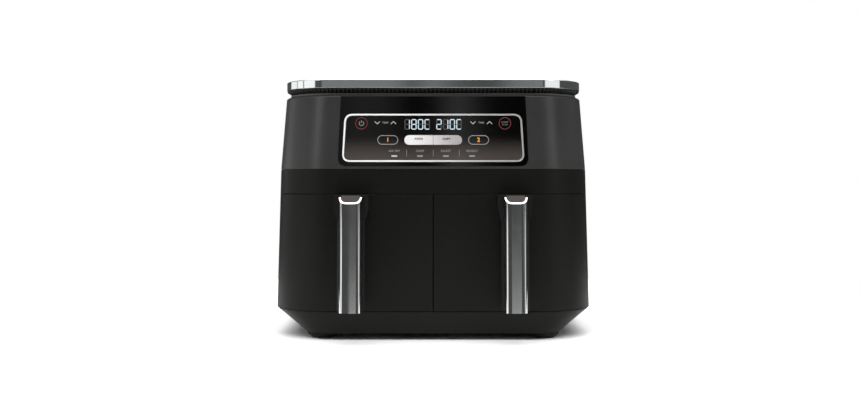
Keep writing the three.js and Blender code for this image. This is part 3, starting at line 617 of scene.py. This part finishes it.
def make_feet():
    """Buttons with a flat tread that curve up, as a quarter of an ellipse, to their full radius."""
    steps = 12
    profile = [(0.2, 0), (TREAD_R / 2, 0)]
    for i in range(steps + 1):
        angle = math.pi / 2 * i / steps
        profile.append((TREAD_R + (FOOT_R - TREAD_R) * math.sin(angle), FOOT_TOP * (1 - math.cos(angle))))
    for row, y in FOOT_ROWS:
        for side, sign in SIDES:
            rings = [[(px, py, z) for px, py in circle(sign * FOOT_X, y, radius, 48)]
                     for radius, z in profile]
            foot = smooth(loft(f"foot_{row}_{side}_fine", rings, RUBBER))
            finish_piece(foot, "housing", "rubber", f"foot_{row}_{side}")


# ---------------------------------------------------------------- control panel

KEYS = (
    dict(name="power_key", u=-86.7, v=52, width=15, height=15),
    dict(name="start_stop_key", u=86.7, v=52, width=15, height=15),
    dict(name="zone_1_key", u=-54.8, v=31.7, width=25.4, height=11.7),
    dict(name="zone_2_key", u=54.8, v=31.7, width=25.4, height=11.7),
    dict(name="both_key", u=-17.5, v=31.7, width=34.6, height=11.7, flat_right=True),
    dict(name="copy_key", u=17.5, v=31.7, width=34.6, height=11.7, flat_left=True),
)
KEY_ROOM = 0.35
KEY_FACE = 0.7
GLASS_FACE = 0.35
PRINT_RISE = 0.06

# Which of a digit's seven segments are lit, in the order that digit_segments gives them.
DIGITS = {"0": "1110111", "1": "0010010", "2": "1011101", "8": "1111111", "C": "1100101"}
DIGIT_WIDTH = 6.6
DIGIT_HEIGHT = 12.8
DIGIT_PITCH = 8.07
READINGS = (("180C", -31.4), ("210C", 7.0))  # text, and place of its first digit across the panel
STROKE = 1.2
RING_WIDTH = 0.85  # of the lines round the keys

# What is printed and lit on the glass. U runs across the panel and V up it.
READING_V = 50.8
SETTING_V = 52.8
FUNCTION_V = 18.3
DIVIDER_V = 15.8
BAR_V = 12.2
SETTINGS = (("TEMP", -57.8), ("TIME", 58.1))
ARROWS = ((-67.6, False), (-48, True), (48.1, False), (68.2, True))  # U, and whether it points up
FUNCTIONS = (("AIR FRY", -46.9), ("CRISP", -15.9), ("ROAST", 15.3), ("REHEAT", 46.9))
DIVIDERS = (-32, 0, 31.5)


def key_outline(key, grow=0.0):
    return pill(key["u"], key["v"], key["width"] + 2 * grow, key["height"] + 2 * grow,
                not key.get("flat_left"), not key.get("flat_right"))


def bezel_outline(grow):
    return trapezoid(109.1 + grow, 106.1 + grow, 6.1 - grow, 62.6 + grow, 9 + grow, 9 + grow)


def ribbon(name, inner, outer, w0, w1, material):
    """A band between two outlines with the same number of points."""
    rings = [[on_panel(u, v, w) for u, v in shape]
             for shape, w in ((outer, w0), (outer, w1), (inner, w1), (inner, w0))]
    return loft(name, rings, material, closed=True)


def words(name, text, u, v, height, material, w, bold=0.0):
    """Lettering centred on a point of the panel; bold thickens its strokes."""
    curve = bpy.data.curves.new(name, "FONT")
    curve.body = text
    curve.size = height / 0.7 * MM
    curve.align_x = "CENTER"
    curve.align_y = "CENTER"
    curve.extrude = PRINT_RISE / 2 * MM
    curve.space_character = 1.12
    curve.offset = bold * MM
    drawn = bpy.data.objects.new(name + "_curve", curve)
    bpy.context.scene.collection.objects.link(drawn)
    graph = bpy.context.evaluated_depsgraph_get()
    mesh = bpy.data.meshes.new_from_object(drawn.evaluated_get(graph))
    bpy.data.objects.remove(drawn)
    bpy.data.curves.remove(curve)
    frame_of_panel = Matrix.Translation(PANEL_MATRIX.translation * MM) @ PANEL_MATRIX.to_3x3().to_4x4()
    mesh.transform(frame_of_panel @ Matrix.Translation(Vector((u, v, w)) * MM))
    mesh.materials.clear()
    mesh.materials.append(material)
    made = bpy.data.objects.new(name, mesh)
    bpy.context.scene.collection.objects.link(made)
    return made


def merged(name, shapes, w, material):
    """Several small flat outlines printed on the panel, as one piece."""
    points, faces = [], []
    for shape in shapes:
        count = len(shape)
        first = len(points)
        points += [on_panel(u, v, w) for u, v in shape] + [on_panel(u, v, w + PRINT_RISE) for u, v in shape]
        faces.append([first + i for i in range(count)][::-1])
        faces.append([first + count + i for i in range(count)])
        for i in range(count):
            j = (i + 1) % count
            faces.append((first + i, first + j, first + count + j, first + count + i))
    made = piece(name, points, faces, material)
    face_outward(made)
    return made


def segment(u0, v0, u1, v1):
    """A display segment along a line, pointed at both ends."""
    along = Vector((u1 - u0, v1 - v0)).normalized()
    side = Vector((-along.y, along.x)) * STROKE / 2
    tip = along * STROKE / 2
    start = Vector((u0, v0)) + along * 0.12
    end = Vector((u1, v1)) - along * 0.12
    corners = (start, start + tip - side, end - tip - side, end, end - tip + side, start + tip + side)
    return [tuple(corner) for corner in corners]


def digit_segments(u, v):
    """A digit's segments: top, upper left, upper right, middle, lower left, lower right, bottom."""
    x0, x1 = u - (DIGIT_WIDTH - STROKE) / 2, u + (DIGIT_WIDTH - STROKE) / 2
    y0, y1 = v - (DIGIT_HEIGHT - STROKE) / 2, v + (DIGIT_HEIGHT - STROKE) / 2
    return (segment(x0, y1, x1, y1), segment(x0, v, x0, y1), segment(x1, v, x1, y1), segment(x0, v, x1, v),
            segment(x0, y0, x0, v), segment(x1, y0, x1, v), segment(x0, y0, x1, y0))


def make_display():
    lit, dim = [], []
    for text, start in READINGS:
        for place, letter in enumerate(text):
            for on, shape in zip(DIGITS[letter], digit_segments(start + place * DIGIT_PITCH, READING_V)):
                (lit if on == "1" else dim).append(shape)
    finish_piece(merged("display_lit", lit, GLASS_FACE, LIT_SEGMENT), "housing", "display_body")
    finish_piece(merged("display_dim", dim, GLASS_FACE, UNLIT_SEGMENT_PAINTED_GLOW), "housing", "display_body")


def patch(u, v, half_width, half_height):
    """A rectangle on the panel."""
    return [(u - half_width, v - half_height), (u + half_width, v - half_height),
            (u + half_width, v + half_height), (u - half_width, v + half_height)]


def chevron(u, v, upward):
    """An open arrow head 6.2 wide and 3.8 high."""
    rise = 1 if upward else -1
    half, high, thick = 3.1, 1.9, 0.95
    foot, inner_foot = v - rise * high, v - rise * (high - thick)
    tip, inner_tip = v + rise * high, v + rise * (high - thick)
    return [(u - half, foot), (u, inner_tip), (u + half, foot),
            (u + half, inner_foot), (u, tip), (u - half, inner_foot)]


def make_label(text, u, v, height):
    name = "label_" + text.lower().replace(" ", "_")
    finish_piece(words(name, text, u, v, height, DIM_LABEL, GLASS_FACE, 0.08), "housing", "gloss_black")


def make_panel():
    face = trapezoid(PANEL_HALF_FOOT, PANEL_HALF_HEAD, 0, PANEL_HEIGHT - 0.3, PANEL_CORNER, 0)
    plate = slab("fascia_plate", face, -3, 0.2, GLOSS)
    channel = ribbon("tool", bezel_outline(-1.3), bezel_outline(1.3), -1.3, 5, None)
    cut(plate, channel, *[slab("tool", key_outline(key, KEY_ROOM), -10, 10) for key in KEYS])
    soften(plate, 0.35, 3)
    finish_piece(plate, "housing", "gloss_black", "control_fascia")
    glass = slab("touch_glass_pane", bezel_outline(-1.3), 0.15, GLASS_FACE, TOUCH_GLASS)
    cut(glass, *[slab("tool", key_outline(key, KEY_ROOM), -10, 10) for key in KEYS])
    smooth(glass, 30)
    finish_piece(glass, "housing", "gloss_black")
    bezel = ribbon("bezel_line", bezel_outline(-1.05), bezel_outline(1.05), -1, 0.75, TRIM_SILVER_PAINTED_SHEEN)
    soften(bezel, 0.4, 3)
    finish_piece(bezel, "housing", "trim_silver", "bezel_trim")
    make_display()
    for text, u in SETTINGS:
        make_label(text, u, SETTING_V, 2.1)
    for text, u in FUNCTIONS:
        make_label(text, u, FUNCTION_V, 2.5)
    arrows = [chevron(u, SETTING_V, upward) for u, upward in ARROWS]
    bars = [patch(u, BAR_V, 3.4, 0.9) for _, u in FUNCTIONS]
    finish_piece(merged("icons_lit", arrows + bars[:1], GLASS_FACE, LIT_ICON), "housing", "display_body")
    finish_piece(merged("bars_unlit", bars[1:], GLASS_FACE, UNLIT_BAR_PAINTED_GLOW), "housing", "display_body")
    dividers = [patch(u, DIVIDER_V, 0.25, 4) for u in DIVIDERS]
    finish_piece(merged("icons_dim", dividers, GLASS_FACE, DIM_LABEL), "housing", "display_body")
    for key in KEYS:
        make_key(key)


def make_key(key):
    name = key["name"]
    body = name + "_cap"
    silver = name in ("both_key", "copy_key")
    cap = slab(name + "_face", key_outline(key), -4, KEY_FACE, PILL_SILVER_PAINTED_SHEEN if silver else TOUCH_GLASS)
    flange = slab("tool", key_outline(key, 0 if silver else 1), -4.7, -3.6)
    join(cap, flange, slab("tool", pill(key["u"], key["v"], 4, 4), -5.6, -4.4))
    soften(cap, 0.3, 3)
    finish_piece(cap, body, "trim_silver" if silver else "gloss_black", name)
    if silver:
        word, shift = ("BOTH", 0) if name == "both_key" else ("COPY", 1.5)
        label = words(name + "_word", word, key["u"] - shift, 32.8, 2.3, DARK_INK, KEY_FACE, 0.18)
        finish_piece(label, body, "gloss_black")
        return
    round_key = key["width"] == key["height"]
    ring_material = LAMP_RED if round_key else KEY_RING
    inset = 0.0 if round_key else 0.15
    inner, outer = key_outline(key, -inset - RING_WIDTH), key_outline(key, -inset)
    ring = ribbon(name + "_ring", inner, outer, KEY_FACE - 0.3, KEY_FACE + 0.12, ring_material)
    soften(ring, 0.15, 2)
    finish_piece(ring, body, "trim_silver")
    if name == "power_key":
        make_power_glyph(key, body)
    elif name == "start_stop_key":
        for word, v in (("START", 53.3), ("STOP", 50.3)):
            label = words(f"{name}_{word.lower()}", word, key["u"], v, 1.9, DIM_LABEL, KEY_FACE)
            finish_piece(label, body, "gloss_black")
    else:
        digit = name.split("_")[1]
        finish_piece(words(name + "_digit", digit, key["u"], key["v"], 4.9, LAMP_ORANGE, KEY_FACE, 0.16),
                     body, "display_body")


def make_power_glyph(key, body):
    """A ring open at the top with an upright bar in the gap."""
    arc = []
    for radius, angles in ((3.2, range(-230, 51, 10)), (2.3, range(50, -231, -10))):
        arc += [(key["u"] + radius * math.cos(math.radians(a)), key["v"] + radius * math.sin(math.radians(a)))
                for a in angles]
    bar = patch(key["u"], key["v"] + 2, 0.45, 1.6)
    finish_piece(merged("power_key_glyph", [arc, bar], KEY_FACE, DIM_LABEL), body, "display_body")


# ---------------------------------------------------------------- top

def make_top():
    wall = 3
    section = [
        (RIM_BOTTOM, 0.12), (RIM_BOTTOM + 0.12, 0), (RIM_BOTTOM + 0.4, 0),
        (RIM_TOP - 1.0, 0), (RIM_TOP - 0.8, 0), (RIM_TOP - 0.3, 0.25), (RIM_TOP, 0.9),
        (RIM_TOP, wall - 0.4), (RIM_TOP - 0.3, wall), (RIM_BOTTOM, wall),
    ]
    ring = loft("rim_band", [outline(RIM, z, inset, arc=32) for z, inset in section], RIM_CHROME, closed=True)
    smooth(ring, 50)
    finish_piece(ring, "housing", "rim_chrome", "top_ring")
    start = wall + 0.4
    cover = stack("cover_plate", RIM, [
        (RIM_BOTTOM, start), (RIM_TOP - 1.4, start), (RIM_TOP - 1.0, start + 0.4),
        (RIM_TOP - 0.9, start + 1.2), (RIM_TOP - 0.55, start + 14), (RIM_TOP - 0.3, start + 40),
    ], LID, arc=32)
    smooth(cover, 50)
    finish_piece(cover, "housing", "gloss_black", "top_cover")


def make_vent():
    foot = COLLAR + GAP
    floor_inset = COLLAR_INSET - 0.9
    # The backing's near-black colour is painted shade, seen through the gaps between the ribs.
    backing = loft("vent_backing", [
        outline(RIM, foot, floor_inset + 1.6), outline(RIM, VENT_EDGE, 2.2), outline(RIM, VENT_TOP, 2.2),
        outline(RIM, VENT_TOP, floor_inset + 3), outline(RIM, foot, floor_inset + 3),
    ], VENT_GAP_PAINTED_SHADE, closed=True)
    smooth(backing)
    finish_piece(backing, "housing", "black_shell", "vent_grille")
    path = outline(RIM, 0, 0, arc=48)
    rib_levels = ((floor_inset, 2.0, foot), (0.5, 2.2, VENT_EDGE), (0.4, 2.2, VENT_TOP - 0.2))
    points, faces = [], []
    travelled = 0.0
    next_rib = VENT_PITCH / 2
    for i in range(len(path)):
        here = Vector(path[i])
        there = Vector(path[(i + 1) % len(path)])
        step = (there - here).length
        if step < 1e-6:
            continue
        along = (there - here) / step
        inward = Vector((-along.y, along.x, 0))
        while next_rib <= travelled + step:
            spot = here + along * (next_rib - travelled)
            first = len(points)
            for inset, depth, z in rib_levels:
                for shift, reach in ((-RIB_HALF, inset), (RIB_HALF, inset),
                                     (RIB_HALF, inset + depth), (-RIB_HALF, inset + depth)):
                    point = spot + along * shift + inward * reach
                    points.append((point.x, point.y, z))
            for low in (first, first + 4):
                for k in range(4):
                    m = (k + 1) % 4
                    faces.append((low + k, low + m, low + 4 + m, low + 4 + k))
            faces.append((first + 3, first + 2, first + 1, first))
            faces.append((first + 8, first + 9, first + 10, first + 11))
            next_rib += VENT_PITCH
        travelled += step
    ribs = piece("vent_ribs", points, faces, VENT)
    face_outward(ribs)
    finish_piece(ribs, "housing", "black_shell")
    # The sill band is lighter than the housing: a painted highlight along the collar lip.
    sill = ("vent_sill", 4.8, SHOULDER + 1.4, COLLAR, LIP_PAINTED_HIGHLIGHT)
    head = ("vent_head", 0.4, VENT_TOP - 0.7, VENT_TOP, VENT)
    for name, inset, z0, z1, material in (sill, head):
        band = loft(name, [outline(RIM, z0, inset), outline(RIM, z1, inset),
                           outline(RIM, z1, inset + 2.4), outline(RIM, z0, inset + 2.4)],
                    material, closed=True)
        smooth(band)
        finish_piece(band, "housing", "black_shell")


# ---------------------------------------------------------------- drawers

def make_drawer_front(side, sign):
    skin = 3
    x_span = (SEAM_HALF, BEYOND) if sign > 0 else (-BEYOND, -SEAM_HALF)
    inner_span = (SEAM_HALF + skin, BEYOND) if sign > 0 else (-BEYOND, -SEAM_HALF - skin)
    front = body_solid(f"front_{side}", DRAWER_BOTTOM, DRAWER_TOP, 0, LOWER)
    keep(front, front_profile(x_span, 0))
    hollow = body_solid("tool", DRAWER_BOTTOM + skin, DRAWER_TOP - skin, skin)
    keep(hollow, block(inner_span, (-BEYOND, FRONT_REAR + 5), (0, BEYOND)))
    cut(front, hollow)
    x = sign * HANDLE_X
    cut(front, block((x - 12.4, x + 12.4), (-126, -114), (151.6, 170.4)))
    soften(front, 0.6, 4)
    finish_piece(front, f"drawer_{side}", "drawer_black", f"drawer_front_{side}")


def handle_front(z):
    t = (z - HANDLE_FOOT) / (HANDLE_HEAD - HANDLE_FOOT)
    return HANDLE_FRONT + HANDLE_LEAN * t + HANDLE_BOW * t * t


def stations(z0, z1, step=6.0):
    count = max(int((z1 - z0) / step), 1)
    return [z0 + (z1 - z0) * i / count for i in range(count + 1)]


def handle_section(x, z, inset, depth, steps=40):
    front = handle_front(z)
    half = HANDLE_HALF - inset
    power = 2 / HANDLE_CROWN
    ring = []
    for i in range(steps + 1):
        angle = math.pi * i / steps
        side = math.cos(angle)
        across = -half * math.copysign(abs(side) ** power, side)
        forward = (HANDLE_DEPTH - inset) * math.sin(angle) ** power
        ring.append((x + across, front + HANDLE_DEPTH - forward, z))
    rear = front + depth
    return ring + [(x + half, rear, z), (x - half, rear, z)]


def handle_bar(name, x, z0, z1, inset, depth, material=None):
    return loft(name, [handle_section(x, z, inset, depth) for z in stations(z0, z1)], material)


def above_top(x, drop, height):
    """Everything above a top that slopes up from the front and is level from a given height on."""
    made = block((-100, 100), (-100, 100), (0, 100))
    turn = (Matrix.Translation(Vector((x, handle_front(HANDLE_RIM_Z), HANDLE_RIM_Z - drop)) * MM)
            @ Matrix.Rotation(HANDLE_SLOPE, 4, "X"))
    made.data.transform(turn)
    return join(made, block((x - 25, x + 25), (-BEYOND, 0), (height, BEYOND)))


def neck_ring(x, y, plan):
    """The neck's outline in one upright plane: straight sides that taper below the waist."""
    half, top, waist, foot = (plan[key] for key in ("half", "top", "waist", "foot"))
    corners = ((-half, top), (-half, waist), (-FLANGE_HALF, foot),
               (FLANGE_HALF, foot), (half, waist), (half, top))
    return [(x + dx, y, z) for dx, z in corners]


def make_handle(side, sign):
    x = sign * HANDLE_X
    top = 180
    body = f"drawer_{side}"
    cover_inset = HANDLE_SKIN + HANDLE_FIT
    neck_front = handle_front(HANDLE_HEAD) + HANDLE_DEPTH + 0.8
    skin = handle_bar(f"handle_skin_{side}", x, HANDLE_FOOT, top, 0, HANDLE_DEPTH, HANDLE_CHROME)
    hollow = handle_bar("tool", x, HANDLE_FOOT - 1, top + 1, HANDLE_SKIN, HANDLE_DEPTH + 1)
    cut(skin, hollow, above_top(x, 0, HANDLE_HEAD + GAP))
    soften(skin, 0.3, 3)
    finish_piece(skin, body, "handle_chrome", f"handle_cover_{side}")

    bar = handle_bar(f"handle_grip_{side}", x, HANDLE_FOOT + 1, top, cover_inset, HANDLE_DEPTH + 1.5, CORE)
    cut(bar, above_top(x, CORE_DROP, CORE_LEVEL))
    flange_rings = []
    for z in stations(HANDLE_FOOT + 1, 160):
        near = handle_front(z) + HANDLE_DEPTH + GAP
        section = ((-HANDLE_HALF, near), (HANDLE_HALF, near), (FLANGE_HALF, near + 3),
                   (FLANGE_HALF - 1.5, near + FLANGE_DEPTH), (1.5 - FLANGE_HALF, near + FLANGE_DEPTH),
                   (-FLANGE_HALF, near + 3))
        flange_rings.append([(x + dx, y, z) for dx, y in section])
    root = loft("tool", [neck_ring(x, neck_front, NECK_FRONT), neck_ring(x, -118, NECK_BACK)], CORE)
    cap_room = handle_bar("tool", x, 150, top + 10, cover_inset - GAP, HANDLE_DEPTH + 4.4)
    keep(cap_room, above_top(x, CORE_DROP, CORE_LEVEL))
    bar_room = handle_bar("tool", x, 100, 200, -4, HANDLE_DEPTH + GAP)
    cut(root, bar_room, cap_room, body_solid("tool", 130, 190, -GAP))
    join(bar, loft("tool", flange_rings, CORE), root, block((x - 12, x + 12), (-124, -115), (152, 170), CORE))
    soften(bar, 0.6, 3)
    finish_piece(bar, body, "handle_black", f"handle_core_{side}")

    cap = handle_bar(f"handle_insert_{side}", x, HANDLE_RIM_Z - 8, top, cover_inset, HANDLE_DEPTH + 4, UMBER)
    cut(cap, above_top(x, CAP_DROP, CAP_LEVEL))
    keep(cap, above_top(x, CAP_FOOT_DROP, CAP_LEVEL - 2.2))
    soften(cap, 0.3, 2)
    finish_piece(cap, body, "handle_insert", f"handle_cap_{side}")


def make_pan(side, sign):
    x = sign * ZONE_X
    low, high = PAN_BOTTOM["z"], PAN_TOP["z"]

    def level(z, inset):
        return outline(mix_plans(PAN_BOTTOM, PAN_TOP, z), z, inset, x, 16)

    shell = loft(f"pan_{side}", [
        level(low, 4), level(low + 0.9, 1.4), level(low + 3, 0.2), level(low + 6, 0), level(high, 0),
    ], COATING)
    cut(shell, loft("tool", [
        level(low + 2, PAN_WALL + 4), level(low + 2.9, PAN_WALL + 1.4), level(low + 5, PAN_WALL + 0.2),
        level(low + 8, PAN_WALL), level(high + 1, PAN_WALL),
    ]))
    section = ((high - 2, 0.9), (high, 0.9), (high, -PAN_RIM + 0.3),
               (high - 0.3, -PAN_RIM), (high - 2, -PAN_RIM))
    rim = loft("tool", [outline(PAN_TOP, z, inset, x, 16) for z, inset in section], COATING, closed=True)
    boss_y = (-118, PAN_TOP["front"] + 2.2)
    bosses = [block((x + dx - 7, x + dx + 7), boss_y, (92, 112), COATING) for dx in (-26, 26)]
    join(shell, rim, *bosses)
    soften(shell, 0.5, 2)
    finish_piece(shell, f"drawer_{side}", "pan_coating", f"drawer_pan_{side}")


def make_crisper(side, sign):
    x = sign * ZONE_X
    plate = stack(f"crisper_{side}", CRISPER, [(52, 0), (54, 0)], COATING, x, 16)
    for column in range(-2, 3):
        places = [(x + HOLES["across"] * column, HOLES["first"] + HOLES["along"] * row) for row in range(6)]
        cut(plate, *[post(hx, hy, 50, 56, HOLES["radius"], segments=24) for hx, hy in places])
    soften(plate, 0.4, 2)
    finish_piece(plate, f"crisper_{side}", "pan_coating", f"crisper_plate_{side}")


# ---------------------------------------------------------------- plain nodes

def dress(node, material, radius=0.0):
    """Gives a CAD node that shows as it is a finished material and softened edges."""
    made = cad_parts[node]
    for slot in made.material_slots:
        slot.material = material
    if not made.material_slots:
        made.data.materials.append(material)
    if radius:
        bevel = made.modifiers.new("edges", "BEVEL")
        bevel.width = radius * MM
        bevel.segments = 2
        bevel.limit_method = "ANGLE"
        bevel.angle_limit = math.radians(40)
        weight = made.modifiers.new("weights", "WEIGHTED_NORMAL")
        weight.keep_sharp = True


def dress_nodes():
    dress("rear_cover", LOWER, 0.5)
    dress("cord_gland", RUBBER, 0.4)
    dress("control_board", BOARD, 0.1)
    dress("power_board", BOARD, 0.1)
    dress("display_module", LENS, 0.2)
    for side, _ in SIDES:
        dress(f"cavity_liner_{side}", STEEL, 0.3)
        dress(f"heater_{side}", SHEATH)
        dress(f"heater_guard_{side}", STEEL, 0.2)
        dress(f"convection_fan_{side}", STEEL, 0.2)
        dress(f"cooling_fan_{side}", VENT, 0.2)
        dress(f"fan_shaft_{side}", STEEL, 0.3)
        dress(f"fan_motor_{side}", STEEL, 0.4)
        dress(f"thermostat_{side}", STEEL, 0.3)
        for number in range(1, 5):
            dress(f"crisper_bumper_{side}_{number}", SILICONE, 0.4)


# ---------------------------------------------------------------- studio

# The studio is a painted dome in four bands, each as high as its top edge in degrees above the horizon.
# A band has a level of its own and soft boxes and cards on it: bearing from, bearing to, brightness.
# Bearings are in degrees, 0 in front of the object and negative to its left.
BANDS = (
    dict(top=0.4, level=0.08, cards=(  # table top beyond the paper
        (-88, -54, 1.3), (-5, 16, 0.5), (60, 84, 1.0))),
    dict(top=3, level=0.07, cards=((-138, -82, 1.4), (38, 48, 0.25), (98, 118, 0.22))),  # edge of the table
    dict(top=8, level=0.1, cards=(  # soft boxes beside the table, and cards round the camera
        (-128, -103, 1.3), (-101, -82, 1.4), (-79.5, -48, 1.4), (-30, -1.8, 0.27),
        (-0.5, 1.3, 0.25), (5.2, 26, 0.27), (31, 71, 1.3))),
    dict(top=38, level=0.02, cards=(  # upright strip lights behind them
        (-140, -66, 0.35), (-50, -37, 4.0), (-5.5, -2.2, 0.3),
        (0.3, 2.4, 0.75), (43, 57, 2.8), (80, 130, 0.35))),
)
SOFT_EDGE = 1.2  # degrees over which a card's side fades
BLEND = 1  # degrees over which one band gives way to the next
CEILING = 3.6
CEILING_BLEND = 18
FLOOR_RADIUS = 750


def band_stops(band):
    """The band's brightness round the whole horizon, as (bearing, level) stops."""
    stops = [(-180, band["level"])]
    for start, end, level in band["cards"]:
        edge = min(SOFT_EDGE, (end - start) / 4)
        stops += [(start - edge / 2, band["level"]), (start + edge / 2, level),
                  (end - edge / 2, level), (end + edge / 2, band["level"])]
    return stops + [(180, band["level"])]


def make_world():
    """The painted dome round the object, under a bright ceiling, and plain white where it is seen bare."""
    world = bpy.data.worlds.new("studio")
    world.use_nodes = True
    nodes, links = world.node_tree.nodes, world.node_tree.links
    nodes.clear()
    place = nodes.new("ShaderNodeTexCoord")
    axes = nodes.new("ShaderNodeSeparateXYZ")
    links.new(place.outputs["Generated"], axes.inputs["Vector"])
    forward = nodes.new("ShaderNodeMath")
    forward.operation = "MULTIPLY"
    forward.inputs[1].default_value = -1
    links.new(axes.outputs["Y"], forward.inputs[0])
    bearing = nodes.new("ShaderNodeMath")
    bearing.operation = "ARCTAN2"
    links.new(axes.outputs["X"], bearing.inputs[0])
    links.new(forward.outputs["Value"], bearing.inputs[1])
    turn = nodes.new("ShaderNodeMapRange")
    turn.inputs["From Min"].default_value = -math.pi
    turn.inputs["From Max"].default_value = math.pi
    links.new(bearing.outputs["Value"], turn.inputs["Value"])

    def over(below, above, degrees, width):
        """Gives way from one colour to another with height; above is a socket or a grey level."""
        height = nodes.new("ShaderNodeMapRange")
        height.interpolation_type = "SMOOTHSTEP"
        height.inputs["From Min"].default_value = math.sin(math.radians(degrees))
        height.inputs["From Max"].default_value = math.sin(math.radians(degrees + width))
        links.new(axes.outputs["Z"], height.inputs["Value"])
        mix = nodes.new("ShaderNodeMix")
        mix.data_type = "RGBA"
        links.new(height.outputs["Result"], mix.inputs["Factor"])
        links.new(below, mix.inputs["A"])
        if isinstance(above, float):
            mix.inputs["B"].default_value = (above, above, above, 1)
        else:
            links.new(above, mix.inputs["B"])
        return mix.outputs["Result"]

    dome = None
    for number, band in enumerate(BANDS):
        ramp = nodes.new("ShaderNodeValToRGB")
        elements = ramp.color_ramp.elements
        stops = band_stops(band)
        while len(elements) < len(stops):
            elements.new(0.5)
        for element, (degrees, level) in zip(elements, stops):
            element.position = degrees / 360 + 0.5
            element.color = (level, level, level, 1)
        links.new(turn.outputs["Result"], ramp.inputs["Fac"])
        colour = ramp.outputs["Color"]
        dome = colour if number == 0 else over(dome, colour, BANDS[number - 1]["top"] - BLEND / 2, BLEND)
    dome = over(dome, CEILING, BANDS[-1]["top"], CEILING_BLEND)

    path = nodes.new("ShaderNodeLightPath")
    seen = nodes.new("ShaderNodeMix")
    seen.data_type = "RGBA"
    seen.inputs["B"].default_value = (1, 1, 1, 1)
    links.new(path.outputs["Is Camera Ray"], seen.inputs["Factor"])
    links.new(dome, seen.inputs["A"])
    glow = nodes.new("ShaderNodeBackground")
    links.new(seen.outputs["Result"], glow.inputs["Color"])
    output = nodes.new("ShaderNodeOutputWorld")
    links.new(glow.outputs["Background"], output.inputs["Surface"])
    bpy.context.scene.world = world


def make_studio():
    scene = bpy.context.scene
    scene.view_settings.view_transform = "Standard"
    lens = bpy.data.cameras.new("camera")
    lens.lens = FOCAL_LENGTH
    lens.shift_x = SHIFT_X
    lens.shift_y = SHIFT_Y
    camera = bpy.data.objects.new("camera", lens)
    camera.location = (0, EYE_Y, EYE_HEIGHT)
    camera.rotation_euler = (math.pi / 2, 0, 0)
    scene.collection.objects.link(camera)
    scene.camera = camera
    paper, shader = new_material("floor_paper", (0.92, 0.92, 0.92), 0.9)
    shader.inputs["Specular IOR Level"].default_value = 0.1
    vary(paper, shader, "Base Color", add_noise(paper, 3, 2), (0.91, 0.91, 0.91), (0.93, 0.93, 0.93))
    edge = [(x, y, 0) for x, y in circle(0, 0, FLOOR_RADIUS, 64)]
    piece("floor", edge, [tuple(range(64))], paper)
    make_world()


# ---------------------------------------------------------------- build

make_studio()
make_lower_housing()
make_upper_housing()
make_base()
make_feet()
make_top()
make_vent()
make_panel()
for side_name, side_sign in SIDES:
    make_drawer_front(side_name, side_sign)
    make_handle(side_name, side_sign)
    make_pan(side_name, side_sign)
    make_crisper(side_name, side_sign)
dress_nodes()
